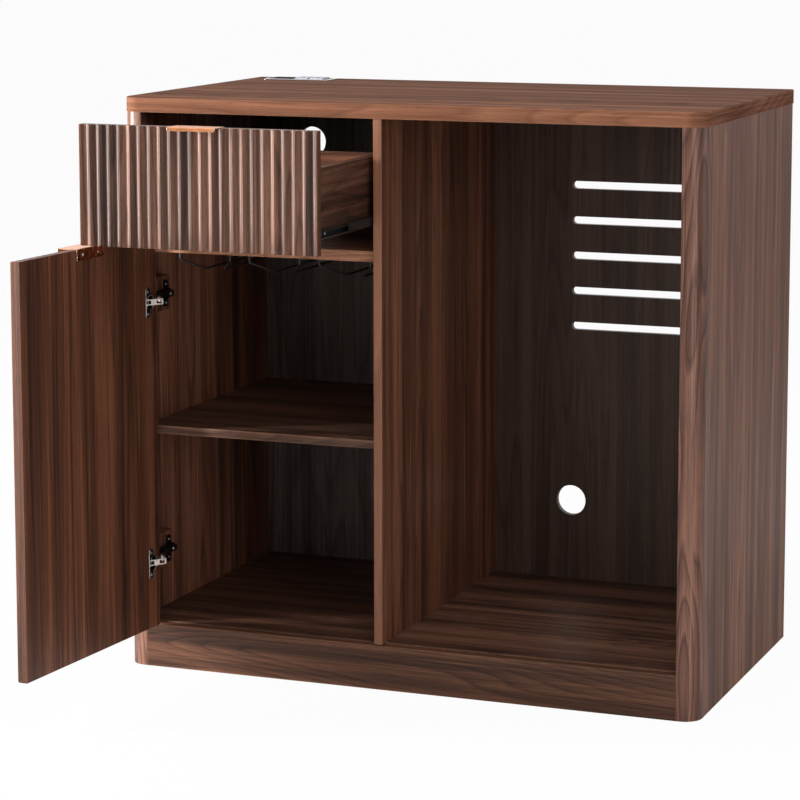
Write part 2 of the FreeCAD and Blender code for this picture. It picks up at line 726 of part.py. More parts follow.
def drawer_side(right):
    """Return one side of the drawer box with its cam and screw bores."""
    outer = BOX_RIGHT if right else BOX_LEFT
    inner = outer - DRAWER_SIDE_THICK if right else outer + DRAWER_SIDE_THICK
    left, far = sorted((outer, inner))
    board = box(left, far, FRONT_BACK, BOX_BACK, DRAWER_SIDE_RISE, BOX_TOP)
    board = bevelled(board, EDGE_BEVEL, lambda edge: edge.BoundBox.ZMin > BOX_TOP - EDGE_BEVEL / 4
                     and edge.BoundBox.YLength > DRAWER_SIDE_THICK)
    way = Vec(-1, 0, 0) if right else Vec(1, 0, 0)
    cuts = [base_groove()]
    for rise in cam_rises():
        start = Vec(outer, FRONT_BACK + CAM_FROM_FRONT, rise)
        cuts.append(peg(CAM_RADIUS + CAM_FIT, start, way, CAM_THICK + CAM_FIT, CAM_SIDES))
    cuts.extend(slide_shanks(inner_screw_places(right), way, CAM_FIT))
    return board.cut(cuts)


def drawer_back():
    """Rear board between the drawer's sides."""
    board = box(BOX_LEFT + DRAWER_SIDE_THICK, BOX_RIGHT - DRAWER_SIDE_THICK,
                BOX_BACK - DRAWER_SIDE_THICK, BOX_BACK, DRAWER_SIDE_RISE, BOX_TOP)
    return board.cut(base_groove())


def cam_rises():
    """Return the height of each cam on a drawer side."""
    first = DRAWER_SIDE_RISE + CAM_FIRST_RISE
    return (first, first + CAM_PITCH)


def drawer_cams():
    """Four cam locks that draw the front against the sides."""
    cams = []
    y = FRONT_BACK + CAM_FROM_FRONT
    for outer, way in ((BOX_LEFT, 1), (BOX_RIGHT, -1)):
        for rise in cam_rises():
            cam = peg(CAM_RADIUS, Vec(outer, y, rise), Vec(way, 0, 0), CAM_THICK, CAM_SIDES)
            half = CAM_SLOT_WIDE / 2
            reach = CAM_SLOT_LONG / 2
            faces = sorted((outer, outer + way * CAM_SLOT_DEEP))
            cross = box(*faces, y - half, y + half, rise - reach, rise + reach)
            cross = cross.fuse(box(*faces, y - reach, y + reach, rise - half, rise + half))
            cams.append(cam.cut(cross))
    return Part.makeCompound(cams)


# Telescopic slides

def slide_channel(web, way, flange, tall):
    """Return a C channel along Y: a web at an X place and flanges that run one way."""
    low = DRAWER_SIDE_RISE + (SLIDE_TALL - tall) / 2
    high = low + tall
    far = web + way * flange
    skin = web + way * SLIDE_METAL
    bend = SLIDE_BEND * way
    places = [(web, low + SLIDE_BEND), (web + bend, low), (far, low), (far, low + SLIDE_METAL),
              (skin, low + SLIDE_METAL), (skin, high - SLIDE_METAL), (far, high - SLIDE_METAL),
              (far, high), (web + bend, high), (web, high - SLIDE_BEND)]
    corners = [Vec(x, SLIDE_FRONT, z) for x, z in places]
    face = Part.Face(Part.makePolygon(corners + corners[:1]))
    return face.extrude(Vec(0, SLIDE_LONG, 0))


def slide_sides(right):
    """Return the cabinet face, the drawer face and the way from one to the other."""
    if right:
        return DIVIDER_LEFT, BOX_RIGHT, -1
    return -POST_INNER, BOX_LEFT, 1


def slide_outer(right):
    """Cabinet member of a slide, with its screw bores."""
    case_face, _, way = slide_sides(right)
    channel = slide_channel(case_face, way, SLIDE_OUTER_FLANGE, SLIDE_TALL)
    return channel.cut(slide_shanks(outer_screw_places(right), Vec(-way, 0, 0), CAM_FIT))


def slide_middle(right):
    """Middle member of a slide, nested in the cabinet member."""
    case_face, _, way = slide_sides(right)
    web = case_face + way * (SLIDE_METAL + SLIDE_HEAD_THICK + SLIDE_WEB_GAP)
    tall = SLIDE_TALL - 2 * (SLIDE_METAL + SLIDE_PLAY)
    return slide_channel(web, way, SLIDE_MIDDLE_FLANGE, tall)


def slide_inner(right):
    """Drawer member of a slide, nested in the middle member."""
    _, drawer_face, way = slide_sides(right)
    tall = SLIDE_TALL - 4 * (SLIDE_METAL + SLIDE_PLAY)
    channel = slide_channel(drawer_face, -way, SLIDE_INNER_FLANGE, tall)
    return channel.cut(slide_shanks(inner_screw_places(right), Vec(way, 0, 0), CAM_FIT))


def screw_rows():
    """Return the Y places of the screws along a slide."""
    first = SLIDE_FRONT + SLIDE_SCREW_FROM_END
    step = (SLIDE_LONG - 2 * SLIDE_SCREW_FROM_END) / (SLIDE_SCREW_COUNT - 1)
    return [first + row * step for row in range(SLIDE_SCREW_COUNT)]


def outer_screw_places(right):
    """Return where the heads of the cabinet screws seat on a slide."""
    case_face, _, way = slide_sides(right)
    x = case_face + way * SLIDE_METAL
    return [Vec(x, y, DRAWER_SIDE_RISE + SLIDE_TALL / 2) for y in screw_rows()]


def inner_screw_places(right):
    """Return where the heads of the drawer screws seat on a slide."""
    _, drawer_face, way = slide_sides(right)
    x = drawer_face - way * SLIDE_METAL
    return [Vec(x, y, DRAWER_SIDE_RISE + SLIDE_TALL / 2) for y in screw_rows()]


def slide_shanks(places, way, fit):
    """Return the shanks of slide screws, grown by a fit."""
    return [peg(SLIDE_SHANK_RADIUS + fit, place, way, SLIDE_SHANK_LONG + fit, SHANK_SIDES)
            for place in places]


def slide_screws(places_of, into_case):
    """Return the screws of both slides on one member."""
    screws = []
    for right in (False, True):
        _, _, way = slide_sides(right)
        inward = -way if into_case else way
        places = places_of(right)
        for place, shank in zip(places, slide_shanks(places, Vec(inward, 0, 0), 0)):
            head = round_head(place, Vec(-inward, 0, 0), SLIDE_HEAD_RADIUS, SLIDE_HEAD_THICK)
            screws.append(shank.fuse(head))
    return Part.makeCompound(screws)


def slide_batten():
    """Batten that brings the left slide out to the line of the post."""
    low = DRAWER_SIDE_RISE - BATTEN_OVER_SLIDE
    high = DRAWER_SIDE_RISE + SLIDE_TALL + BATTEN_OVER_SLIDE
    batten = box(-PANEL_INNER, -POST_INNER, POST_BACK, POST_BACK + BATTEN_LONG, low, high)
    return batten.cut(slide_shanks(outer_screw_places(False), Vec(-1, 0, 0), CAM_FIT))


# Concealed hinges

def hinge_block(rise):
    """Return the packing block that brings a hinge out to the line of the post."""
    half = HINGE_BLOCK_TALL / 2
    block = box(-PANEL_INNER, -POST_INNER, POST_BACK, POST_BACK + HINGE_BLOCK_LONG,
                rise - half, rise + half)
    block = bevelled(block, EDGE_BEVEL, lambda edge: edge.BoundBox.XMin > -POST_INNER - EDGE_BEVEL / 4
                     and edge.BoundBox.YMax > POST_BACK + EDGE_BEVEL)
    return block.cut(mount_shanks(rise, CAM_FIT))


def mount_screw_places(rise):
    """Return where the screws of a mounting plate seat on its wings."""
    x = -POST_INNER + MOUNT_WING_THICK
    y = wing_back() - MOUNT_WING_LONG / 2
    return [Vec(x, y, rise + side * MOUNT_SCREW_SPREAD / 2) for side in (-1, 1)]


def wing_back():
    """Return the Y place of the rear edge of a mounting plate's wings."""
    return POST_BACK + MOUNT_PLATE_FROM_BLOCK + MOUNT_PLATE_LONG - MOUNT_WING_BACK_SET


def mount_shanks(rise, fit):
    """Return the shanks of a mounting plate's screws, grown by a fit."""
    return [peg(SLIDE_SHANK_RADIUS + fit, place, Vec(-1, 0, 0), MOUNT_SHANK_LONG + fit,
                SHANK_SIDES)
            for place in mount_screw_places(rise)]


def mounting_plate(rise):
    """Return the cross-shaped plate that a hinge arm is screwed to."""
    front = POST_BACK + MOUNT_PLATE_FROM_BLOCK
    back = front + MOUNT_PLATE_LONG
    half = MOUNT_PLATE_TALL / 2
    face = -POST_INNER
    core = rounded_bar(face, MOUNT_PLATE_THICK, front, back, rise - half, rise + half)
    wing_half = MOUNT_WING_TALL / 2
    wing = rounded_bar(face, MOUNT_WING_THICK, wing_back() - MOUNT_WING_LONG, wing_back(),
                       rise - wing_half, rise + wing_half)
    plate = core.fuse(wing).removeSplitter()
    return plate.cut(mount_shanks(rise, CAM_FIT))


def rounded_bar(face, thick, front, back, low, high):
    """Return a plate on a face at an X place, with round corners in its plane."""
    near, far = Vec(face, front, low), Vec(face + thick, back, high)
    return rounded_plate(near, far, Vec(1, 0, 0), min(back - front, high - low) / 4)


def hinge_arm(rise):
    """Return the cranked channel arm of a hinge, open on the side of its plate."""
    low = rise - ARM_TALL / 2
    high = rise + ARM_TALL / 2
    outer = arm_outline(0)
    arm = upright(outer, low, high)
    nose = Vec(arm_nose_x(), CASE_FRONT + ARM_NOSE_DEPTH, low)
    tip = peg(ARM_THICK / 2, nose, Vec(0, 0, 1), ARM_TALL, PIN_SIDES)
    arm = arm.fuse(tip).removeSplitter()
    hollow = upright(arm_outline(ARM_METAL), low + ARM_METAL, high - ARM_METAL)
    reach = ARM_THICK / 2 + CUT_OVERRUN
    half = SWING_LINK_TALL / 2 + LINK_PLAY
    slot = box(nose.x - reach, nose.x + reach, nose.y - reach, nose.y + 2 * reach,
               rise - half, rise + half)
    return arm.cut([hollow, slot]).fuse(link_pin(nose, rise, ARM_TALL / 2))


def link_pin(place, rise, reach):
    """Return an upright pin that stands out by a reach either way from a height."""
    return peg(LINK_PIN_RADIUS, Vec(place.x, place.y, rise - reach), Vec(0, 0, 1), 2 * reach,
               PIN_SIDES)


def link_bore(place, rise):
    """Return the running bore of a link round its pin."""
    reach = ARM_TALL / 2 + CUT_OVERRUN
    return peg(LINK_PIN_RADIUS + LINK_PIN_FIT, Vec(place.x, place.y, rise - reach),
               Vec(0, 0, 1), 2 * reach, PIN_SIDES)


def arm_pin_place():
    """Return the place of the pin in a hinge arm's nose."""
    return Vec(arm_nose_x(), CASE_FRONT + ARM_NOSE_DEPTH, 0)


def cup_pin_place():
    """Return the place of the pin in a hinge cup while the door is shut."""
    return Vec(FRONT_LEFT + CUP_PIN_FROM_EDGE, FRONT_BACK - CUP_PIN_DEPTH, 0)


def knuckle_place():
    """Return where both links of a hinge meet while the door is shut.

    The two links and the door's axis are a parallelogram, so the pin in the
    cup turns about that axis, which lies in front of the closed door.
    """
    return arm_pin_place() + cup_pin_place() - Vec(AXIS_X, AXIS_Y, 0)


def link_bar(start, end, low, high):
    """Return a flat link with round ends between two pin places."""
    along = (end - start).normalize()
    side = Vec(-along.y, along.x, 0)
    steps = PIN_SIDES // 2
    places = []
    for pin, first, out in ((start, side, along * -1), (end, side * -1, along)):
        for turn in (math.pi * step / steps for step in range(steps + 1)):
            round_out = first * math.cos(turn) + out * math.sin(turn)
            corner = pin + round_out * LINK_HALF_WIDE
            places.append((corner.x, corner.y))
    return upright(places, low, high)


def swing_link(rise):
    """Return the link that turns on the arm's pin and carries the knuckle pin."""
    start = arm_pin_place()
    end = knuckle_place()
    half = SWING_LINK_TALL / 2
    bar = link_bar(start, end, rise - half, rise + half).cut(link_bore(start, rise))
    reach = half + LINK_PLAY + CARRY_STRAP_THICK + LINK_PIN_END
    return bar.fuse(link_pin(end, rise, reach))


def carry_link(rise):
    """Return the forked link between the knuckle pin and the cup's pin."""
    start = knuckle_place()
    end = cup_pin_place()
    inner = SWING_LINK_TALL / 2 + LINK_PLAY
    outer = inner + CARRY_STRAP_THICK
    straps = [link_bar(start, end, rise + inner, rise + outer),
              link_bar(start, end, rise - outer, rise - inner)]
    along = end - start
    side = Vec(-along.y, along.x, 0).normalize()
    near, far = [start + along * share for share in CARRY_WEB_SHARES]
    outside = side * LINK_HALF_WIDE
    inside = side * (LINK_HALF_WIDE - CARRY_WEB_THICK)
    corners = [near + inside, near + outside, far + outside, far + inside]
    web = upright([(c.x, c.y) for c in corners], rise - outer, rise + outer)
    link = web.fuse(straps).removeSplitter()
    return link.cut([link_bore(start, rise), link_bore(end, rise)])


def arm_base_x():
    """Return the X place where a hinge arm seats on its plate."""
    return -POST_INNER + MOUNT_PLATE_THICK


def arm_nose_x():
    """Return the X place of the middle of a hinge arm's nose."""
    return arm_base_x() + ARM_CRANK + ARM_THICK / 2


def arm_outline(skin):
    """Return the arm's outline in plan, drawn in by a skin on its outer side."""
    base = arm_base_x() - (CUT_OVERRUN if skin else 0)
    over = arm_base_x() + ARM_THICK - skin
    back = POST_BACK + MOUNT_PLATE_FROM_BLOCK + MOUNT_PLATE_LONG - skin
    bend = CASE_FRONT + ARM_CRANK_DEPTH + ARM_CRANK_RUN
    near = CASE_FRONT + ARM_CRANK_DEPTH
    nose = CASE_FRONT + ARM_NOSE_DEPTH + (ARM_THICK / 2 if skin else 0)
    return [(base, back), (base, bend), (base + ARM_CRANK, near), (base + ARM_CRANK, nose),
            (over + ARM_CRANK, nose), (over + ARM_CRANK, near), (over, bend), (over, back)]


def arm_screw(rise):
    """Return the fixing screw that clamps a hinge arm to its plate."""
    y = wing_back() - MOUNT_WING_LONG / 2
    place = Vec(arm_base_x() + ARM_THICK, y, rise)
    return round_head(place, Vec(1, 0, 0), ARM_SCREW_RADIUS, ARM_SCREW_THICK)


def mount_screws():
    """All screws that hold the plates and the arms."""
    screws = []
    for rise in HINGE_RISES:
        for place, shank in zip(mount_screw_places(rise), mount_shanks(rise, 0)):
            screws.append(shank.fuse(round_head(place, Vec(1, 0, 0), CUP_HEAD_RADIUS,
                                                CUP_HEAD_THICK)))
        screws.append(arm_screw(rise))
    return Part.makeCompound(screws)


def cup_place(rise):
    """Return the middle of a hinge cup on the inner face of the shut door."""
    return Vec(FRONT_LEFT + CUP_FROM_EDGE, FRONT_BACK, rise)


def hinge_cup(rise):
    """Return a pressed cup with its rim plate."""
    place = cup_place(rise)
    cup = peg(CUP_RADIUS, place, Vec(0, -1, 0), CUP_DEPTH, CUP_SIDES)
    middle = place + Vec(CUP_PLATE_FROM_CUP, 0, 0)
    half = Vec(CUP_PLATE_WIDE / 2, 0, CUP_PLATE_TALL / 2)
    rim = rounded_plate(middle - half, middle + half + Vec(0, CUP_PLATE_THICK, 0),
                        Vec(0, 1, 0), CUP_PLATE_WIDE / 3)
    collar = peg(CUP_RADIUS + CUP_WALL, place, Vec(0, 1, 0), CUP_PLATE_THICK, CUP_SIDES)
    cup = cup.fuse([rim, collar]).removeSplitter()
    inside = peg(CUP_RADIUS - CUP_WALL, place + Vec(0, CUP_PLATE_THICK + CUT_OVERRUN, 0),
                 Vec(0, -1, 0), CUP_DEPTH + CUP_PLATE_THICK + CUT_OVERRUN - CUP_WALL,
                 CUP_SIDES)
    cup = cup.cut([inside] + cup_shanks(rise, PIN_FIT))
    pin = cup_pin_place()
    reach = math.sqrt(CUP_RADIUS ** 2 - (pin.x - place.x) ** 2) - CUP_WALL / 2
    return cup.fuse(link_pin(pin, rise, reach))


def cup_screw_places(rise):
    """Return where the screws of a cup seat on its rim plate."""
    x = cup_place(rise).x + CUP_PLATE_FROM_CUP
    y = FRONT_BACK + CUP_PLATE_THICK
    return [Vec(x, y, rise + side * CUP_SCREW_SPREAD / 2) for side in (-1, 1)]


def cup_shanks(rise, fit):
    """Return the shanks of a cup's screws, grown by a fit."""
    return [peg(CUP_SHANK_RADIUS + fit, place, Vec(0, -1, 0), FRONT_SHANK_LONG + fit,
                SHANK_SIDES)
            for place in cup_screw_places(rise)]


def cup_screws():
    """All screws that hold the hinge cups in the door."""
    screws = []
    for rise in HINGE_RISES:
        for place, shank in zip(cup_screw_places(rise), cup_shanks(rise, 0)):
            screws.append(shank.fuse(round_head(place, Vec(0, 1, 0), CUP_HEAD_RADIUS,
                                                CUP_HEAD_THICK)))
    return Part.makeCompound(screws)


# Stem glass racks

def rack_middle(number):
    """Return the X place of the middle of a rack unit."""
    return -PANEL_INNER + RACK_FIRST_FROM_SIDE + number * RACK_PITCH


def rack_screw_places():
    """Return where each rack screw enters the underside of the drawer shelf."""
    places = []
    for number in range(RACK_COUNT):
        for side in (-1, 1):
            x = rack_middle(number) + side * RACK_STUB_SPREAD / 2
            y = CASE_FRONT + RACK_STUB_DEPTH + RACK_SCREW_FROM_STUB
            places.append(Vec(x, y, DRAWER_SHELF_RISE))
    return places


def bend_places(before, corner, after, bend):
    """Return where a bend starts, where it is halfway and where it ends."""
    back = (before - corner).normalize()
    ahead = (after - corner).normalize()
    half = back.getAngle(ahead) / 2
    centre = corner + (back + ahead).normalize() * (bend / math.sin(half))
    reach = bend / math.tan(half)
    halfway = centre + (corner - centre).normalize() * bend
    return [corner + back * reach, halfway, corner + ahead * reach]


def bent_wire(points, radius, bend):
    """Return a many-sided wire through points, with its inner corners bent."""
    path = [points[0]]
    for before, corner, after in zip(points, points[1:], points[2:]):
        path.extend(bend_places(before, corner, after, bend))
    path.append(points[-1])
    ways = [(there - here).normalize() for here, there in zip(path, path[1:])]
    rings = [ring_corners(radius, path[0], ways[0], WIRE_SIDES)]
    for place, way, ahead in zip(path[1:], ways, ways[1:] + ways[-1:]):
        mitre = way + ahead
        rings.append([corner + way * ((place - corner).dot(mitre) / way.dot(mitre))
                      for corner in rings[-1]])
    return skinned(rings)


def glass_rack(number):
    """Return one bent wire that carries a row of glasses by their feet."""
    middle = rack_middle(number)
    under = DRAWER_SHELF_RISE
    crossbar = under - RACK_WIRE_RADIUS
    rail = under - RACK_RAIL_DROP
    stub_y = CASE_FRONT + RACK_STUB_DEPTH
    nose_y = CASE_FRONT + RACK_NOSE_DEPTH
    tail_y = BACK_INNER - RACK_TAIL_FROM_BACK
    half_stub = RACK_STUB_SPREAD / 2
    half_rail = RACK_RAIL_SPREAD / 2
    one_side = [(half_stub, stub_y, under - RACK_FOOT_THICK / 2),
                (half_stub, stub_y, under - RACK_STUB_DROP),
                (half_rail, nose_y, rail), (half_rail, tail_y, rail),
                (half_rail, tail_y + RACK_TAIL_RUN, crossbar)]
    points = [Vec(middle - x, y, z) for x, y, z in one_side]
    points += [Vec(middle + x, y, z) for x, y, z in reversed(one_side)]
    wire = bent_wire(points, RACK_WIRE_RADIUS, RACK_BEND)
    feet = [rack_foot(middle + side * half_stub, stub_y) for side in (-1, 1)]
    bores = [peg(RACK_SCREW_RADIUS + RACK_BORE_FIT, place + Vec(0, 0, CUT_OVERRUN),
                 Vec(0, 0, -1), RACK_FOOT_THICK + 2 * CUT_OVERRUN, SHANK_SIDES)
             for place in rack_screw_places()[2 * number:2 * number + 2]]
    return wire.fuse(feet).cut(bores)


def rack_foot(x, y):
    """Return the flattened foot of a rack wire, against the drawer shelf."""
    low = DRAWER_SHELF_RISE - RACK_FOOT_THICK
    rear = y + RACK_SCREW_FROM_STUB
    pad = peg(RACK_FOOT_RADIUS, Vec(x, rear, low), Vec(0, 0, 1), RACK_FOOT_THICK, PIN_SIDES)
    nose = peg(RACK_WIRE_RADIUS, Vec(x, y, low), Vec(0, 0, 1), RACK_FOOT_THICK, SHANK_SIDES)
    neck = upright([(x - RACK_WIRE_RADIUS, y), (x + RACK_WIRE_RADIUS, y),
                    (x + RACK_WIRE_RADIUS, rear), (x - RACK_WIRE_RADIUS, rear)],
                   low, DRAWER_SHELF_RISE)
    return pad.fuse([nose, neck])


def rack_screws():
    """All screws that hold the racks to the drawer shelf."""
    screws = []
    for place in rack_screw_places():
        shank = peg(RACK_SCREW_RADIUS, place - Vec(0, 0, RACK_FOOT_THICK), Vec(0, 0, 1),
                    RACK_SCREW_LONG + RACK_FOOT_THICK, SHANK_SIDES)
        head = round_head(place - Vec(0, 0, RACK_FOOT_THICK), Vec(0, 0, -1),
                          RACK_HEAD_RADIUS, RACK_HEAD_THICK)
        screws.append(shank.fuse(head))
    return Part.makeCompound(screws)


# Power outlet

def outlet_rim():
    """Return the edges of the outlet's rim: left, right, front and back."""
    left = -HALF_WIDE + OUTLET_FROM_LEFT
    return left, left + OUTLET_LONG, OUTLET_FRONT, OUTLET_FRONT + OUTLET_WIDE


def outlet_neck():
    """Return the edges of the outlet's neck in the cut-out of the top."""
    left, right, front, back = outlet_rim()
    inset = OUTLET_RIM_WIDE - OUTLET_NECK_WALL
    return left + inset, right - inset, front + inset, back - inset


def outlet_frame():
    """Bright frame with a neck through the top and a rim that rests on it."""
    left, right, front, back = outlet_rim()
    high = CABINET_TALL + OUTLET_RIM_TALL
    rim = rounded_block(left, right, front, back, CABINET_TALL, high, OUTLET_RIM_RADIUS)
    rim = bevelled(rim, OUTLET_RIM_TALL / 3, edge_at("Z", high))
    neck_left, neck_right, neck_front, neck_back = outlet_neck()
    neck = box(neck_left, neck_right, neck_front, neck_back, CASE_TOP, CABINET_TALL)
    return rim.fuse(neck).cut(outlet_core(CASE_TOP - CUT_OVERRUN, high + CUT_OVERRUN, 0))


def outlet_core(low, high, gap):
    """Return the block inside the outlet's frame, drawn in by a gap."""
    left, right, front, back = outlet_rim()
    inset = OUTLET_RIM_WIDE + gap
    return box(left + inset, right - inset, front + inset, back - inset, low, high)


def outlet_body():
    """Dark housing inside the frame, with a seat for each module."""
    body = outlet_core(CABINET_TALL - OUTLET_BODY_DROP, CABINET_TALL + OUTLET_FACE_RISE, 0)
    return body.cut([socket_block(number, 0) for number in range(SOCKET_COUNT)]
                    + [charger_block(0)])


def outlet_middle():
    """Return the Y place of the middle of the outlet."""
    return OUTLET_FRONT + OUTLET_WIDE / 2


def socket_block(number, rise):
    """Return the block of one socket module, raised over the housing's face."""
    left = outlet_rim()[0] + SOCKET_FIRST_FROM_END + number * SOCKET_PITCH
    half = SOCKET_WIDE / 2
    low = CABINET_TALL + OUTLET_FACE_RISE - SOCKET_WELL_DEEP
    high = CABINET_TALL + max(rise, OUTLET_FACE_RISE + CUT_OVERRUN)
    return box(left, left + SOCKET_LONG, outlet_middle() - half, outlet_middle() + half,
               low, high)


def outlet_sockets():
    """Two pale socket modules with a round well each."""
    modules = []
    for number in range(SOCKET_COUNT):
        block = socket_block(number, SOCKET_RISE)
        high = block.BoundBox.ZMax
        block = bevelled(block, SOCKET_BEVEL, edge_at("Z", high))
        middle = block.BoundBox.Center
        well = peg(SOCKET_WELL_RADIUS, Vec(middle.x, middle.y, high - SOCKET_WELL_DEEP),
                   Vec(0, 0, 1), SOCKET_WELL_DEEP + CUT_OVERRUN, CUP_SIDES)
        modules.append(block.cut(well))
    return Part.makeCompound(modules)


def charger_block(rise):
    """Return the block of the charger module, raised over the housing's face."""
    left = outlet_rim()[0] + CHARGER_FROM_END
    half = CHARGER_WIDE / 2
    low = CABINET_TALL + OUTLET_FACE_RISE - SOCKET_WELL_DEEP
    high = CABINET_TALL + max(rise, OUTLET_FACE_RISE + CUT_OVERRUN)
    return box(left, left + CHARGER_LONG, outlet_middle() - half, outlet_middle() + half,
               low, high)


def outlet_charger():
    """Charger module with two ports."""
    block = charger_block(CHARGER_RISE)
    high = block.BoundBox.ZMax
    middle = block.BoundBox.Center
    block = bevelled(block, SOCKET_BEVEL, edge_at("Z", high))
    ports = []
    for side in (-1, 1):
        x = middle.x + side * CHARGER_PORT_SPREAD / 2
        ports.append(box(x - CHARGER_PORT_LONG / 2, x + CHARGER_PORT_LONG / 2,
                         middle.y - CHARGER_PORT_WIDE / 2, middle.y + CHARGER_PORT_WIDE / 2,
                         high - CHARGER_PORT_DEEP, high + CUT_OVERRUN))
    return block.cut(ports)


# Assembly

def case_nodes():
    """Return the boards of the cabinet."""
    divider = divider_panel().cut(slide_shanks(outer_screw_places(True), Vec(1, 0, 0), CAM_FIT))
    return {
        "top_panel": top_panel(),
        "side_panel_left": left_side_panel(),
        "side_panel_right": right_side_panel(),
        "corner_post_left": mirrored(right_post()),
        "corner_post_right": right_post(),
        "bottom_panel": bottom_panel(),
        "plinth_front": plinth_front(),
        "plinth_back": plinth_back(),
        "centre_bearer": centre_bearer(),
        "divider_panel": divider,
        "back_panel_left": left_back_panel(),
        "back_panel_right": right_back_panel(),
        "drawer_shelf": drawer_shelf(),
        "adjustable_shelf": adjustable_shelf(),
        "shelf_pins": shelf_pins(),
        "slide_batten_left": slide_batten(),
    }


def fitting_nodes():
    """Return the racks, hinges and outlet that are fixed to the cabinet."""
    nodes = {
        "rack_screws": rack_screws(),
        "hinge_mount_screws": mount_screws(),
        "outlet_frame": outlet_frame(),
        "outlet_body": outlet_body(),
        "outlet_sockets": outlet_sockets(),
        "outlet_charger": outlet_charger(),
        "slide_outer_left": slide_outer(False),
        "slide_outer_right": slide_outer(True),
        "slide_case_screws": slide_screws(outer_screw_places, True),
    }
    for number in range(RACK_COUNT):
        nodes["glass_rack_%d" % (number + 1)] = glass_rack(number)
    for name, rise in zip(("lower", "upper"), HINGE_RISES):
        nodes["hinge_block_" + name] = hinge_block(rise)
        nodes["hinge_plate_" + name] = mounting_plate(rise)
        nodes["hinge_arm_" + name] = hinge_arm(rise)
    return nodes


def drawer_nodes():
    """Return everything that moves with the drawer, pulled out."""
    shut = {
        "drawer_front": drawer_front(),
        "drawer_side_left": drawer_side(False),
        "drawer_side_right": drawer_side(True),
        "drawer_back": drawer_back(),
        "drawer_base": drawer_base(),
        "drawer_cams": drawer_cams(),
        "drawer_pull": bent_pull(DRAWER_FRONT_TOP),
        "drawer_pull_screws": pull_screws(DRAWER_FRONT_TOP),
        "slide_inner_left": slide_inner(False),
        "slide_inner_right": slide_inner(True),
        "slide_drawer_screws": slide_screws(inner_screw_places, False),
    }
    nodes = {name: draw_out(shape) for name, shape in shut.items()}
    nodes["slide_middle_left"] = draw_out(slide_middle(False), 0.5)
    nodes["slide_middle_right"] = draw_out(slide_middle(True), 0.5)
    return nodes


def door_nodes():
    """Return everything that moves with the door, opened."""
    shut = {
        "door_panel": door_panel(),
        "door_pull": bent_pull(DOOR_TOP_RISE),
        "door_pull_screws": pull_screws(DOOR_TOP_RISE),
        "hinge_cup_screws": cup_screws(),
    }
    for name, rise in zip(("lower", "upper"), HINGE_RISES):
        shut["hinge_cup_" + name] = hinge_cup(rise)
    return {name: open_door(shape) for name, shape in shut.items()}


def link_nodes():
    """Return the links of both hinges in the pose of the open door."""
    nodes = {}
    for name, rise in zip(("lower", "upper"), HINGE_RISES):
        nodes["hinge_swing_link_" + name] = swing_out(swing_link(rise))
        nodes["hinge_carry_link_" + name] = carry_out(carry_link(rise))
    return nodes


def main():
    """Build every piece and write it as its own file."""
    os.makedirs("parts", exist_ok=True)
    nodes = {}
    for group in (case_nodes, fitting_nodes, drawer_nodes, door_nodes, link_nodes):
        nodes.update(group())
    for name, shape in nodes.items():
        print(name, "solids", len(shape.Solids), "valid", shape.isValid())
        shape.exportStep("parts/%s.step" % name)


if __name__ == "__main__":
    main()
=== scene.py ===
"""Looks of a walnut bar cabinet with an open fridge bay, shown with its drawer and door open."""

import logging
import math
from dataclasses import dataclass, field
from enum import Enum
from typing import Any, Optional, Sequence, Union

import bmesh
import bpy
from mathutils import Matrix, Vector


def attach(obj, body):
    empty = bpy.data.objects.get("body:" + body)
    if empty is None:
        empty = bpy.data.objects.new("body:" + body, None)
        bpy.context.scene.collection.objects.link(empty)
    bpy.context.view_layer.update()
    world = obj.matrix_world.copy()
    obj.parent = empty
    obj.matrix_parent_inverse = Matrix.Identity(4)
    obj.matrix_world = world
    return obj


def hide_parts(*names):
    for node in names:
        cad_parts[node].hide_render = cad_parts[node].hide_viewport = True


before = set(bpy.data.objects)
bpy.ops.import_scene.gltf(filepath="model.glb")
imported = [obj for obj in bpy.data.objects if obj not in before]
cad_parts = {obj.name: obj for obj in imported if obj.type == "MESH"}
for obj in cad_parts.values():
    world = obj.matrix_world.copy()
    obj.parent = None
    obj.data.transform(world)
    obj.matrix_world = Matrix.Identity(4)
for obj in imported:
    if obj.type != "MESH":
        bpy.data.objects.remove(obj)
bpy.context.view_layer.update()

LOG = logging.getLogger("bar_cabinet")
MM = 0.001
SIDES = (-1, 1)
MIX = "ShaderNodeMix"
RAMP = "ShaderNodeValToRGB"
BEVEL_RAYS = 4
CREASE = math.radians(35.0)
Colour = tuple[float, float, float, float]
Place = tuple[float, float, float]
Tones = tuple[str, str, str]

# Dark, middle and light tone of plain walnut
WALNUT: Tones = ("#39221a", "#6c4231", "#a26c50")

# Places that pieces share, in millimetres, with the drawer and the door shut
FRONT_LEFT = -468.0
FRONT_RIGHT = -53.0
FRONT_MIDDLE = (FRONT_LEFT + FRONT_RIGHT) / 2
HINGE_RISES = (189.0, 637.0)
RACK_MIDDLES = (-364.0, -236.5, -109.0)
RACK_STUB = 46.0
RACK_FOOT = 1.6
SHELF_UNDER = 717.0

# How far the drawer and the door stand open, in millimetres and radians
DRAWER_OUT = -229.0
DOOR_AXIS = (-466.5, -298.5, 0.0)
DOOR_TURN = math.radians(-94.4)


# Small helpers


def linear(code: str) -> Colour:
    """Turn an sRGB hex code into a linear colour.

    Args:
        code: Six hex digits with a leading hash.

    Returns:
        Red, green, blue and an opaque alpha.
    """
    shares = [int(code[i : i + 2], 16) / 255 for i in (1, 3, 5)]
    curve = [s / 12.92 if s <= 0.04045 else ((s + 0.055) / 1.055) ** 2.4 for s in shares]
    return (curve[0], curve[1], curve[2], 1.0)


def grey(value: float) -> Colour:
    """Return a grey of one linear value."""
    return (value, value, value, 1.0)


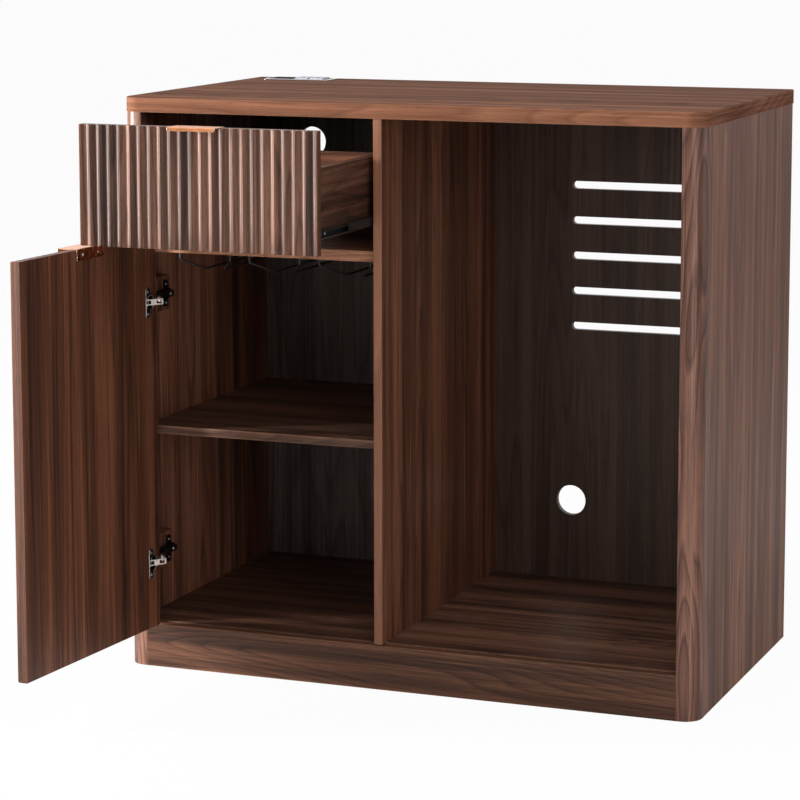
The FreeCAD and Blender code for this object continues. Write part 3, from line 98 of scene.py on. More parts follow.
def add_node(
    tree: bpy.types.NodeTree, kind: str, inputs: Optional[dict] = None,
    stops: Sequence[tuple[float, Any]] = (), **settings: Any
) -> bpy.types.Node:
    """Add one node with its settings and links.

    Args:
        tree: The tree that the node joins.
        kind: The node's type name.
        inputs: What goes into each input, by the name of one in use or by number. It is a plain
            value, a socket, value or node to link from, or a list of those.
        stops: Places from 0 to 1 on a colour ramp, each with a grey's value or a colour.
        settings: Attributes of the node.

    Returns:
        The new node.
    """
    node = tree.nodes.new(kind)
    for name, value in settings.items():
        setattr(node, name, value)
    for key, given in (inputs or {}).items():
        named = (socket for socket in node.inputs if socket.enabled and socket.name == key)
        entry = node.inputs[key] if isinstance(key, int) else next(named)
        for value in given if isinstance(given, list) else [given]:
            source = source_of(value)
            if isinstance(source, bpy.types.NodeSocket):
                tree.links.new(source, entry)
            else:
                entry.default_value = source
    if stops:
        elements = node.color_ramp.elements
        while len(elements) < len(stops):
            elements.new(0.5)
        for element, (place, tone) in zip(elements, stops):
            element.position = place
            element.color = tone if isinstance(tone, tuple) else grey(tone)
    return node


@dataclass(frozen=True)
class Value:
    """A number in a node tree, which joins in sums as plain numbers do."""

    tree: bpy.types.NodeTree
    socket: bpy.types.NodeSocket

    def work(self, operation: str, *others: Any) -> "Value":
        """Put this number through an operation.

        Args:
            operation: The operation's name.
            others: The numbers that come after this one.

        Returns:
            The result.
        """
        terms = dict(enumerate((self, *others)))
        node = add_node(self.tree, "ShaderNodeMath", terms, operation=operation)
        return Value(self.tree, node.outputs[0])

    def __add__(self, other: Any) -> "Value":
        """Add a number."""
        return self.work("ADD", other)

    def __sub__(self, other: Any) -> "Value":
        """Take a number away."""
        return self.work("SUBTRACT", other)

    def __rsub__(self, other: Any) -> "Value":
        """Take this number away from a plain one."""
        return self * -1.0 + other

    def __mul__(self, other: Any) -> "Value":
        """Multiply by a number."""
        return self.work("MULTIPLY", other)

    def __truediv__(self, other: Any) -> "Value":
        """Divide by a number."""
        return self.work("DIVIDE", other)


def source_of(value: Any) -> Any:
    """Find what goes into an input.

    Args:
        value: A node, a value of a tree, a socket or a plain value.

    Returns:
        The socket to link from, or the plain value. A node gives its first output in use.
    """
    if isinstance(value, bpy.types.Node):
        return next(socket for socket in value.outputs if socket.enabled)
    return value.socket if isinstance(value, Value) else value


def clear_tree(owner: Union[bpy.types.Material, bpy.types.World]) -> bpy.types.NodeTree:
    """Empty the node tree of a material or world.

    Args:
        owner: The material or world.

    Returns:
        Its tree.
    """
    owner.use_nodes = True
    owner.node_tree.nodes.clear()
    return owner.node_tree


def surface(tree: bpy.types.NodeTree, inputs: dict) -> None:
    """End a material with one shader of the given inputs."""
    shader = add_node(tree, "ShaderNodeBsdfPrincipled", inputs)
    add_node(tree, "ShaderNodeOutputMaterial", {"Surface": shader})


def edge_mask(tree: bpy.types.NodeTree, bent: bpy.types.Node, low: float, high: float,
              most: float) -> bpy.types.Node:
    """Find where an edge rounds off between two faces.

    Args:
        tree: The material's tree.
        bent: The node that rounds the normal.
        low: Likeness of the rounded normal and the flat one at which the mask is full.
        high: Likeness at which it ends.
        most: The full mask's value.

    Returns:
        The mask.
    """
    flat = add_node(tree, "ShaderNodeNewGeometry").outputs["Normal"]
    match = add_node(tree, "ShaderNodeVectorMath", {0: bent, 1: flat}, operation="DOT_PRODUCT")
    return add_node(tree, RAMP, {"Fac": match}, stops=[(low, most), (high, 0.0)])


# Finishes


class Grain(Enum):
    """The way that the wood fibres or brush lines run."""

    ALONG_X = 0
    ALONG_Y = 1
    ALONG_Z = 2

    def stretch(self, along: float, across: float) -> Place:
        """Return pattern scales for feature lengths along and across the grain, in millimetres."""
        lengths = [along if axis == self.value else across for axis in range(3)]
        return (1 / (lengths[0] * MM), 1 / (lengths[1] * MM), 1 / (lengths[2] * MM))


@dataclass(frozen=True)
class Layer:
    """Noise in veneer: feature sizes in millimetres, finer octaves and a shift between layers."""

    along: float
    across: float
    detail: float
    shift: float


# Layers of the figure, from broad bands of colour down to single fibres
COLOUR_BANDS = Layer(1500, 34, 2, 0.0)
STREAKS = Layer(950, 7.5, 5, 11.0)
FINE_LINES = Layer(170, 1.9, 4, 23.0)
PALE_FIBRES = Layer(2100, 5.0, 1, 53.0)
# Pores are 0.2 mm wide in the wood and are drawn 1.3 mm wide so that they show
PORES = Layer(34, 1.3, 2, 37.0)
RING_WIDTH = 105
RING_SHIFT = 3.1
RING_COUNT = 24.0
SEED_STEP = 7.13
# A face lies level where its normal's Z is over this
LEVEL_NORMAL = 0.7


@dataclass(frozen=True)
class WalnutVeneer:
    """Sliced walnut veneer under satin lacquer.

    To the eye it has dark and pale streaks along the board, arches of growth rings, open pores
    and a soft sheen. Rounded edges are paler, partly rubbed and partly a painted highlight.
    Faces that look to the front are paler, partly edge banding and partly painted light.
    """

    name: str
    grain: Grain
    seed: float = 0.0
    tones: Tones = WALNUT
    figure: float = 0.22
    arch: float = 2400.0
    roughness: float = 0.42
    edge_radius: float = 0.7
    gloss: float = 0.35
    fluted: bool = False
    band: float = 0.0
    band_colour: str = "#b07a5e"
    wear_and_highlight_colour: str = "#c79c82"
    lacquer: str = "#fff1e8"
    streak_share: float = 0.28
    line_share: float = 0.22
    pore_share: float = 0.8
    tone_swing: float = 0.1
    pore_relief: float = 0.12

    def noise(self, tree: bpy.types.NodeTree, place: bpy.types.Node, layer: Layer) -> Value:
        """Make one layer of noise that is drawn out along the fibres.

        Args:
            tree: The material's tree.
            place: The place on the board, in metres.
            layer: The sizes of the noise.

        Returns:
            The noise value.
        """
        offset = self.seed * SEED_STEP + layer.shift
        mapped = add_node(tree, "ShaderNodeMapping",
                          {"Vector": place, "Location": (offset, offset * 0.7, offset * 1.3),
                           "Scale": self.grain.stretch(layer.along, layer.across)})
        node = add_node(tree, "ShaderNodeTexNoise",
                        {"Vector": mapped, "Scale": 1.0, "Detail": layer.detail,
                         "Roughness": 0.6})
        return Value(tree, node.outputs["Fac"])

    def fibre_place(self, tree: bpy.types.NodeTree) -> bpy.types.Node:
        """Run the fibres along the board's edges, where a band of veneer covers it.

        Args:
            tree: The material's tree.

        Returns:
            The place on the board, in metres.
        """
        source = add_node(tree, "ShaderNodeTexCoord")
        place, normal = source.outputs["Object"], source.outputs["Normal"]
        parts = add_node(tree, "ShaderNodeSeparateXYZ", {0: place})
        x, y, z = (Value(tree, part) for part in parts.outputs)
        facing = add_node(tree, "ShaderNodeSeparateXYZ", {0: normal})
        level = Value(tree, facing.outputs["Z"]).work("ABSOLUTE")
        if self.grain is Grain.ALONG_Z:
            on_edge = level.work("GREATER_THAN", LEVEL_NORMAL)
            turned = add_node(tree, "ShaderNodeCombineXYZ", {"X": z, "Y": y, "Z": x})
        else:
            on_edge = level.work("LESS_THAN", LEVEL_NORMAL)
            turned = add_node(tree, "ShaderNodeCombineXYZ", {self.grain.value: x + y, "Z": z})
        return add_node(tree, MIX, {"Factor": on_edge, "A": place, "B": turned},
                        data_type="VECTOR")

    def flute_tone(self, tree: bpy.types.NodeTree, tone: Value) -> Value:
        """Shift the tone a little from flute to flute.

        Args:
            tree: The material's tree.
            tone: The tone of the veneer.

        Returns:
            The shifted tone.
        """
        chance = add_node(tree, "ShaderNodeAttribute", attribute_name="flute_tone")
        swing = Value(tree, chance.outputs["Fac"]).work("MULTIPLY_ADD", self.tone_swing, tone)
        return swing - self.tone_swing / 2

    def tone(self, tree: bpy.types.NodeTree, place: bpy.types.Node, fine: Value) -> Value:
        """Mix the layers of the figure into one tone.

        Args:
            tree: The material's tree.
            place: The place on the board, in metres.
            fine: The fine lines.

        Returns:
            The tone, dark where it is low.
        """
        slow = self.noise(tree, place, COLOUR_BANDS)
        streak = self.noise(tree, place, STREAKS)
        # The arches of the growth rings are level lines of slow noise
        arches = self.noise(tree, place, Layer(self.arch, RING_WIDTH, 1.5, RING_SHIFT))
        ring = add_node(tree, RAMP, {"Fac": (arches * RING_COUNT).work("FRACT")},
                        stops=[(0.0, 0.35), (0.72, 0.62), (0.93, 0.12), (1.0, 0.35)])
        base = add_node(tree, MIX, {"Factor": self.streak_share, "A": slow, "B": streak})
        figured = add_node(tree, MIX, {"Factor": self.figure, "A": base, "B": ring})
        lined = add_node(tree, MIX, {"Factor": self.line_share, "A": figured, "B": fine})
        fibre = add_node(tree, RAMP, {"Fac": self.noise(tree, place, PALE_FIBRES)},
                         stops=[(0.60, 0.0), (0.68, 0.06)])
        tone = Value(tree, source_of(lined)) + fibre
        return self.flute_tone(tree, tone) if self.fluted else tone

    def material(self) -> bpy.types.Material:
        """Build the veneer's nodes.

        Returns:
            The material.
        """
        material = bpy.data.materials.new(self.name)
        tree = clear_tree(material)
        place = self.fibre_place(tree)
        fine = self.noise(tree, place, FINE_LINES)
        pore = self.noise(tree, place, PORES)
        dark, middle, light = (linear(code) for code in self.tones)
        wood = add_node(tree, RAMP, {"Fac": self.tone(tree, place, fine)},
                        stops=[(0.38, dark), (0.48, middle), (0.60, light)])
        open_pore = add_node(tree, RAMP, {"Fac": pore}, stops=[(0.36, 0.55), (0.44, 1.0)])
        porous = add_node(tree, MIX, {"Factor": self.pore_share, "A": wood, "B": open_pore},
                          data_type="RGBA", blend_type="MULTIPLY")
        normal = add_node(tree, "ShaderNodeTexCoord").outputs["Normal"]
        facing = add_node(tree, "ShaderNodeSeparateXYZ", {0: normal})
        # Faces that look to the front mix toward a paler colour: partly edge banding, partly
        # painted light
        front = add_node(tree, RAMP, {"Fac": Value(tree, facing.outputs["Y"]) * -1.0},
                         stops=[(0.2, 0.0), (0.9, self.band)])
        banded = add_node(tree, MIX,
                          {"Factor": front, "A": porous, "B": linear(self.band_colour)},
                          data_type="RGBA")
        bent = add_node(tree, "ShaderNodeBevel", {"Radius": self.edge_radius * MM},
                        samples=BEVEL_RAYS)
        # Rounded edges take a paler colour: partly rubbed veneer, partly a painted highlight line
        rubbed_and_highlit = add_node(tree, MIX,
                        {"Factor": edge_mask(tree, bent, 0.75, 0.985, 0.85), "A": banded,
                         "B": linear(self.wear_and_highlight_colour)}, data_type="RGBA")
        relief = add_node(tree, "ShaderNodeBump",
                          {"Height": pore, "Distance": self.pore_relief * MM,
                           "Strength": 0.35, "Normal": bent})
        sheen = add_node(tree, RAMP, {"Fac": fine},
                         stops=[(0.3, self.roughness + 0.12), (0.7, self.roughness - 0.04)])
        surface(tree, {"Base Color": rubbed_and_highlit, "Roughness": sheen, "Normal": relief,
                       "Specular IOR Level": self.gloss, "Specular Tint": linear(self.lacquer)})
        return material


@dataclass(frozen=True)
class PlatedMetal:
    """Plated or brushed metal: a tinted mirror with fine drawn lines and slight smudges.

    Brush lines are about 0.1 mm wide on the metal and are drawn 0.5 mm wide so that they show.
    Where an edge colour is given, the rounded edges are painted in that paler colour: a painted
    highlight line.
    """

    name: str
    colour: str
    roughness: float
    grain: Grain = Grain.ALONG_X
    brushed: float = 0.25
    edge_radius: float = 0.25
    edge: str = ""
    line_long: float = 40.0
    line_wide: float = 0.5
    smudges_per_metre: float = 90.0
    deep_share: float = 0.9
    line_relief: float = 0.02

    def material(self) -> bpy.types.Material:
        """Build the metal's nodes.

        Returns:
            The material.
        """
        material = bpy.data.materials.new(self.name)
        tree = clear_tree(material)
        place = add_node(tree, "ShaderNodeTexCoord").outputs["Object"]
        lines = add_node(tree, "ShaderNodeMapping",
                         {"Vector": place,
                          "Scale": self.grain.stretch(self.line_long, self.line_wide)})
        brush = add_node(tree, "ShaderNodeTexNoise",
                         {"Vector": lines, "Scale": 1.0, "Detail": 3.0})
        smudge = add_node(tree, "ShaderNodeTexNoise",
                          {"Vector": place, "Scale": self.smudges_per_metre})
        both = add_node(tree, MIX, {"Factor": self.brushed, "A": smudge, "B": brush})
        rough = add_node(tree, RAMP, {"Fac": both},
                         stops=[(0.3, self.roughness * 0.75), (0.7, self.roughness * 1.3)])
        colour = linear(self.colour)
        deeper = tuple(self.deep_share * share for share in colour[:3]) + (1.0,)
        tint = add_node(tree, RAMP, {"Fac": both}, stops=[(0.3, deeper), (0.6, colour)])
        bent = add_node(tree, "ShaderNodeBevel", {"Radius": self.edge_radius * MM},
                        samples=BEVEL_RAYS)
        relief = add_node(tree, "ShaderNodeBump",
                          {"Height": brush, "Distance": self.line_relief * MM,
                           "Strength": self.brushed, "Normal": bent})
        # Rounded edges mix toward a pale colour: a painted highlight
        if self.edge:
            tint = add_node(tree, MIX,
                            {"Factor": edge_mask(tree, bent, 0.8, 0.99, 0.9), "A": tint,
                             "B": linear(self.edge)}, data_type="RGBA")
        surface(tree, {"Base Color": tint, "Roughness": rough, "Normal": relief,
                       "Metallic": 1.0})
        return material


@dataclass(frozen=True)
class Coating:
    """Powder paint, phosphate or moulded plastic: an opaque colour with a fine pebbled skin."""

    name: str
    colour: str
    roughness: float
    gloss: float = 0.5
    relief: float = 0.04
    pebble: float = 0.6
    cloud: float = 25.0
    dust_gain: float = 1.18
    dust: float = 0.004
    edge_radius: float = 0.3

    def material(self) -> bpy.types.Material:
        """Build the coating's nodes.

        Returns:
            The material.
        """
        material = bpy.data.materials.new(self.name)
        tree = clear_tree(material)
        place = add_node(tree, "ShaderNodeTexCoord").outputs["Object"]
        skin = add_node(tree, "ShaderNodeTexNoise",
                        {"Vector": place, "Scale": 1 / (self.pebble * MM), "Detail": 2.0})
        cloud = add_node(tree, "ShaderNodeTexNoise",
                         {"Vector": place, "Scale": 1 / (self.cloud * MM)})
        colour = linear(self.colour)
        dusty = tuple(min(1.0, self.dust_gain * share + self.dust)
                      for share in colour[:3]) + (1.0,)
        tint = add_node(tree, RAMP, {"Fac": cloud}, stops=[(0.35, colour), (0.7, dusty)])
        rough = add_node(tree, RAMP, {"Fac": cloud},
                         stops=[(0.3, self.roughness * 0.85), (0.7, self.roughness * 1.15)])
        bent = add_node(tree, "ShaderNodeBevel", {"Radius": self.edge_radius * MM},
                        samples=BEVEL_RAYS)
        bump = add_node(tree, "ShaderNodeBump",
                        {"Height": skin, "Distance": self.relief * MM, "Strength": 0.5,
                         "Normal": bent})
        surface(tree, {"Base Color": tint, "Roughness": rough, "Normal": bump,
                       "Specular IOR Level": self.gloss})
        return material


Finish = Union[WalnutVeneer, PlatedMetal, Coating]


# Mesh rules


@dataclass
class Recipe:
    """A rule for a mesh, kept as a node tree with named sizes."""

    name: str
    sizes: dict[str, str] = field(default_factory=dict)
    tree: bpy.types.NodeTree = field(init=False)
    entry: bpy.types.Node = field(init=False)
    exit: bpy.types.Node = field(init=False)

    def __post_init__(self) -> None:
        """Open the tree with its way in and out."""
        self.tree = bpy.data.node_groups.new(self.name, "GeometryNodeTree")
        for way in ("INPUT", "OUTPUT"):
            self.tree.interface.new_socket("Geometry", in_out=way,
                                           socket_type="NodeSocketGeometry")
        self.entry = self.tree.nodes.new("NodeGroupInput")
        self.exit = self.tree.nodes.new("NodeGroupOutput")

    def size(self, name: str) -> Value:
        """Add a named size to the tree, or find it there.

        Args:
            name: The size's name.

        Returns:
            The size.
        """
        if name not in self.sizes:
            item = self.tree.interface.new_socket(name, in_out="INPUT",
                                                  socket_type="NodeSocketFloat")
            self.sizes[name] = item.identifier
        return Value(self.tree, self.entry.outputs[name])

    def add(self, kind: str, inputs: Optional[dict] = None, **settings: Any) -> bpy.types.Node:
        """Add a node to the rule."""
        return add_node(self.tree, kind, inputs, **settings)

    def position(self) -> tuple[Value, ...]:
        """Return the three coordinates of a point, as they are wherever they are used."""
        parts = self.add("ShaderNodeSeparateXYZ", {0: self.add("GeometryNodeInputPosition")})
        return tuple(Value(self.tree, part) for part in parts.outputs)

    def shade(self, geometry: Any, smooth: bool) -> bpy.types.Node:
        """Shade faces flat or as one curved surface, with sharp creases.

        Args:
            geometry: The geometry so far.
            smooth: Whether faces are shaded as one curved surface.

        Returns:
            The shaded geometry.
        """
        curved = self.add("GeometryNodeSetShadeSmooth",
                          {"Geometry": geometry, "Shade Smooth": smooth})
        angle = Value(self.tree, source_of(self.add("GeometryNodeInputMeshEdgeAngle")))
        return self.add("GeometryNodeSetShadeSmooth",
                        {"Geometry": curved, "Selection": angle.work("GREATER_THAN", CREASE),
                         "Shade Smooth": False}, domain="EDGE")

    def close(self, geometry: Any, material: bpy.types.Material,
              smooth: Optional[bool] = None, chosen: Any = True) -> None:
        """End the rule with real meshes that carry a material.

        Args:
            geometry: The geometry so far.
            material: The finish of the piece.
            smooth: How to shade the faces, or None where they are shaded already.
            chosen: The faces that the finish goes on.
        """
        real = self.add("GeometryNodeRealizeInstances", {"Geometry": geometry})
        if smooth is not None:
            real = self.shade(real, smooth)
        dressed = self.add("GeometryNodeSetMaterial",
                           {"Geometry": real, "Selection": chosen, "Material": material})
        self.tree.links.new(dressed.outputs[0], self.exit.inputs[0])

    def make(self, start: bpy.types.Mesh, values: dict[str, float],
             move: Matrix) -> bpy.types.Mesh:
        """Run the rule on a start mesh.

        Args:
            start: Points, edges or cutters that the rule works from.
            values: The named sizes, in metres or as shares.
            move: Where the finished mesh is moved to.

        Returns:
            The finished plain mesh.
        """
        carrier = bpy.data.objects.new(self.name, start)
        bpy.context.scene.collection.objects.link(carrier)
        modifier = carrier.modifiers.new(self.name, "NODES")
        modifier.node_group = self.tree
        for name, value in values.items():
            modifier[self.sizes[name]] = value
        view = bpy.context.evaluated_depsgraph_get()
        mesh = bpy.data.meshes.new_from_object(carrier.evaluated_get(view), depsgraph=view)
        bpy.data.objects.remove(carrier)
        mesh.transform(move)
        return mesh


def show(name: str, mesh: bpy.types.Mesh, body: str,
         nodes: Sequence[str]) -> bpy.types.Object:
    """Put a finished mesh in the scene as a piece of the cabinet.

    Args:
        name: The piece's name.
        mesh: Its mesh, already in place.
        body: The body that it rides on.
        nodes: The solids that it stands for.

    Returns:
        The new object.
    """
    piece = bpy.data.objects.new(name, mesh)
    bpy.context.scene.collection.objects.link(piece)
    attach(piece, body)
    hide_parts(*nodes)
    LOG.info("piece %s: %d faces", name, len(mesh.polygons))
    return piece


def dress(finish: Finish, *nodes: str) -> None:
    """Give solids one finish.

    Args:
        finish: The finish.
        nodes: Names of the solids.
    """
    material = finish.material()
    for name in nodes:
        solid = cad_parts[name]
        if not solid.material_slots:
            solid.data.materials.append(material)
        for slot in solid.material_slots:
            slot.material = material
        LOG.info("solid %s: %s", name, finish.name)


def cut_board(board: str, grain: Grain, seed: float, tones: Tones = WALNUT,
              **looks: Any) -> None:
    """Dress a board in its own cut of veneer."""
    dress(WalnutVeneer("walnut_veneer_" + board, grain, seed, tones, **looks), board)


# Sub-assemblies


@dataclass
class Case:
    """Boards that stand still. Each has a seed of its own, so that no two are cut alike."""

    arch: float = 1100.0
    flat_gloss: float = 0.3
    flat_tones: tuple[tuple[str, Tones], ...] = (
        ("bottom_panel", ("#2e1d17", "#563a2d", "#825b48")),
        ("plinth_front", ("#2c1c16", "#523527", "#7d5540")),
        ("plinth_back", WALNUT),
        # Paler than the other flat boards: painted light on the shelf top, which the open drawer
        # shades
        ("drawer_shelf", ("#4a2e22", "#85563f", "#b98465")),
        ("adjustable_shelf", ("#36241c", "#604538", "#8f6753")))
    post_tones: Tones = ("#38241d", "#644136", "#976a57")

    def flat_boards(self) -> None:
        """Dress the flat boards, the batten of the left slide and the bearer."""
        # The top's wider rounded edge and paler front faces are partly painted highlight and
        # painted light
        cut_board("top_panel", Grain.ALONG_X, 1, ("#3a2318", "#66402f", "#94654d"),
                  arch=self.arch, gloss=0.03, roughness=0.6, edge_radius=1.1, band=0.22)
        for seed, (board, tones) in enumerate(self.flat_tones, start=2):
            cut_board(board, Grain.ALONG_X, seed, tones, arch=self.arch, gloss=self.flat_gloss)
        cut_board("slide_batten_left", Grain.ALONG_Y, 7, arch=self.arch, gloss=self.flat_gloss)
        cut_board("centre_bearer", Grain.ALONG_Y, 31)

    def upright_boards(self) -> None:
        """Dress the sides, the divider, the posts, the hinge blocks and the backs."""
        upright = Grain.ALONG_Z
        cut_board("side_panel_left", upright, 11, ("#402820", "#774a38", "#aa745a"))
        # Paler in the dark and lower in contrast than the left side: painted sheen on this side
        cut_board("side_panel_right", upright, 12, ("#482e25", "#684334", "#95674f"))
        # The divider's front edge is painted paler: partly edge banding, partly painted light
        cut_board("divider_panel", upright, 13, ("#3d281f", "#673f2e", "#95634a"), band=0.3)
        for seed, side in enumerate(("left", "right"), start=14):
            cut_board("corner_post_" + side, upright, seed, self.post_tones, figure=0.34,
                      arch=760.0, gloss=0.5, roughness=0.32)
        for seed, rise in enumerate(("lower", "upper"), start=16):
            cut_board("hinge_block_" + rise, upright, seed)
        # Lighter and greyer than the right back: painted light in the unlit left bay
        cut_board("back_panel_left", upright, 21, ("#3c3431", "#60544f", "#7f726c"))
        cut_board("back_panel_right", upright, 22, ("#30241f", "#4b372f", "#644d43"))

    def build(self) -> None:
        """Dress every board of the case, and the shelf's pins."""
        self.flat_boards()
        self.upright_boards()
        # Steel pins, turned and nickel plated: small bright glints
        dress(PlatedMetal("nickel_plated_pins", "#b9b6b0", 0.25), "shelf_pins")


@dataclass(frozen=True)
class Front:
    """A fluted board: where it stands, its cut of veneer and the tones of its flat faces.

    The fluted face's darker veneer reaches through a share of the thickness; on the drawer it
    covers the end faces as well, as painted shade there.
    """

    body: str
    node: str
    low: float
    high: float
    seed: float
    inner_tones: Tones
    fluted_share: float


@dataclass
class FlutedFronts:
    """Drawer front and door: boards with a row of coved flutes."""

    # Nearly the whole thickness takes the darker fluted veneer, so the end faces show painted
    # shade
    drawer: Front = Front("drawer", "drawer_front", 755.0, 952.0, 41.0, WALNUT, 0.99)
    door: Front = Front("door", "door_panel", 77.0, 751.0, 43.0,
                        ("#351f17", "#573425", "#83523a"), 0.2)
    tones: Tones = ("#33201a", "#573a2e", "#86604e")
    face: float = -291.0
    back: float = -274.0
    flutes: int = 23
    ridge: float = 1.8
    depth: float = 4.0
    rounding: float = 1.4
    set_in: float = 0.07
    end_radius: float = 3.0
    end_steps: int = 4
    steps: int = 30
    tone_seed: int = 7
    weld: float = 0.01
    overrun: float = 5.0
    cup_from_edge: float = 21.5
    cup_radius: float = 13.05
    cup_depth: float = 10.5
    cup_sides: int = 48
    groove_sides: tuple[float, float] = (-450.8, -70.2)
    groove_front: float = -279.0
    groove_rises: tuple[float, float] = (785.8, 790.2)

    def recipe(self, front: Front) -> Recipe:
        """Make the rule of a fluted board, from which a start mesh is cut.

        Args:
            front: The board.

        Returns:
            The rule, with the board's sizes as inputs.
        """
        outer = WalnutVeneer(f"walnut_fluted_{front.body}", Grain.ALONG_Z, front.seed,
                             self.tones, gloss=0.28, roughness=0.36, fluted=True)
        inner = WalnutVeneer(f"walnut_{front.node}_back", Grain.ALONG_Z, front.seed + 1,
                             front.inner_tones)
        rule = Recipe(f"fluted_{front.body}_board")
        wide, tall = rule.size("Width"), rule.size("Height")
        thick, depth = rule.size("Thickness"), rule.size("Flute depth")
        pitch, cove = rule.size("Flute pitch"), rule.size("Cove width")
        rows = 2 * self.end_steps + 2
        grid = rule.add("GeometryNodeMeshGrid",
                        {"Size X": wide, "Size Y": tall,
                         "Vertices X": self.flutes * self.steps + 1, "Vertices Y": rows})
        x, y, z = rule.position()
        flute = (x + wide * 0.5 - (pitch - cove) * 0.5) / pitch
        # Each cove is an arc of the circle through the ridges on both sides and its own bottom
        off = (flute.work("FRACT") - 0.5).work("ABSOLUTE") * pitch
        half = cove * 0.5
        radius = (half * half + depth * depth) / (depth * 2.0)
        arc = (radius * radius - off * off).work("SQRT") - (radius - depth)
        sunk = arc.work("SMOOTH_MAX", 0.0, rule.size("Ridge rounding"))
        # The grid's own Y is the height, until its points are set upright
        rise, end_depth = self.rounded_end(rule, y, tall, rows)
        set_back = sunk.work("MAXIMUM", end_depth)
        upright = rule.add("ShaderNodeCombineXYZ", {"X": x, "Y": set_back, "Z": rise})
        face = rule.add("GeometryNodeSetPosition", {"Geometry": grid, "Position": upright})
        backward = rule.add("ShaderNodeCombineXYZ", {"Y": 1.0})
        body = rule.add("GeometryNodeExtrudeMesh",
                        {"Mesh": face, "Offset": backward, "Offset Scale": thick,
                         "Individual": False}, mode="FACES")
        flat = rule.add("ShaderNodeCombineXYZ", {"X": x, "Y": thick, "Z": z})
        rear = rule.add("GeometryNodeSetPosition",
                        {"Geometry": body, "Selection": body.outputs["Top"],
                         "Position": flat})
        turned = rule.add("GeometryNodeFlipFaces", {"Mesh": face})
        joined = rule.add("GeometryNodeJoinGeometry", {"Geometry": [rear, turned]})
        solid = rule.add("GeometryNodeMergeByDistance",
                         {"Geometry": joined, "Distance": self.weld * MM})
        cut = rule.add("GeometryNodeMeshBoolean",
                       {"Mesh 1": solid, "Mesh 2": rule.entry.outputs[0]},
                       operation="DIFFERENCE", solver="EXACT")
        chance = rule.add("FunctionNodeRandomValue",
                          {"ID": flute.work("FLOOR"), "Seed": self.tone_seed},
                          data_type="FLOAT")
        toned = rule.add("GeometryNodeStoreNamedAttribute",
                         {"Geometry": cut, "Name": "flute_tone", "Value": chance},
                         data_type="FLOAT", domain="FACE")
        plain = rule.add("GeometryNodeSetMaterial",
                         {"Geometry": toned, "Material": inner.material()})
        rule.close(plain, outer.material(), True,
                   y.work("LESS_THAN", thick * front.fluted_share))
        return rule

    def rounded_end(self, rule: Recipe, across: Value, tall: Value,
                    rows: int) -> tuple[Value, Value]:
        """Crowd the rows of the grid at the ends and round the ridges over there.

        Args:
            rule: The fluted board's rule.
            across: The even place of each row, about the middle.
            tall: The board's height.
            rows: How many rows the grid has.

        Returns:
            The place of each row and how deep its ridges lie there.
        """
        radius = rule.size("End rounding")
        last = rows - 1.0
        number = (across / tall + 0.5) * last
        step = number.work("MINIMUM", last - number).work("MINIMUM", float(self.end_steps))
        turn = step * (math.pi / 2 / self.end_steps)
        inset = radius * (1.0 - turn.work("COSINE"))
        depth = radius * (1.0 - turn.work("SINE"))
        return across.work("SIGN") * (tall * 0.5 - inset), depth

    def cup_bores(self) -> bpy.types.Mesh:
        """Make the cutters of the cup bores.

        Returns:
            The cutters, about the middle of the door's face.
        """
        mesh = bpy.data.meshes.new("cup_bores")
        work = bmesh.new()
        turn = Matrix.Rotation(math.pi / 2, 4, "X")
        for rise in HINGE_RISES:
            spot = Vector((FRONT_LEFT + self.cup_from_edge - FRONT_MIDDLE,
                           self.back - self.face, rise - (self.door.low + self.door.high) / 2))
            bmesh.ops.create_cone(work, cap_ends=True, segments=self.cup_sides,
                                  radius1=self.cup_radius * MM, radius2=self.cup_radius * MM,
                                  depth=2 * self.cup_depth * MM,
                                  matrix=Matrix.Translation(spot * MM) @ turn)
        work.to_mesh(mesh)
        work.free()
        return mesh

    def groove_cutter(self) -> bpy.types.Mesh:
        """Make the cutter of the groove that holds the drawer's base.

        Returns:
            The cutter, about the middle of the drawer front's face.
        """
        rise = (self.drawer.low + self.drawer.high) / 2
        depths = (self.groove_front - self.face, self.back + self.overrun - self.face)
        corners = [Vector((x - FRONT_MIDDLE, depth, z - rise)) * MM
                   for x in self.groove_sides for depth in depths for z in self.groove_rises]
        mesh = bpy.data.meshes.new("base_groove")
        faces = [(0, 1, 3, 2), (4, 6, 7, 5), (0, 4, 5, 1), (2, 3, 7, 6), (0, 2, 6, 4),
                 (1, 5, 7, 3)]
        mesh.from_pydata(corners, [], faces)
        return mesh

    def build(self, drawer_move: Matrix, door_move: Matrix) -> None:
        """Build both fronts.

        Args:
            drawer_move: The drawer's way from shut to open.
            door_move: The door's way from shut to open.
        """
        wide = FRONT_RIGHT - FRONT_LEFT
        cove = (wide - (self.flutes + 1) * self.ridge) / self.flutes
        values = {"Width": (wide - 2 * self.set_in) * MM,
                  "Thickness": (self.back - self.face) * MM, "Flute depth": self.depth * MM,
                  "Flute pitch": (cove + self.ridge) * MM, "Cove width": cove * MM,
                  "Ridge rounding": self.rounding * MM, "End rounding": self.end_radius * MM}
        for front, cutter, move in ((self.drawer, self.groove_cutter(), drawer_move),
                                    (self.door, self.cup_bores(), door_move)):
            values["Height"] = (front.high - front.low) * MM
            middle = Vector((FRONT_MIDDLE, self.face, (front.low + front.high) / 2)) * MM
            mesh = self.recipe(front).make(cutter, values, move @ Matrix.Translation(middle))
            show(front.node + "_fluted", mesh, front.body, [front.node])


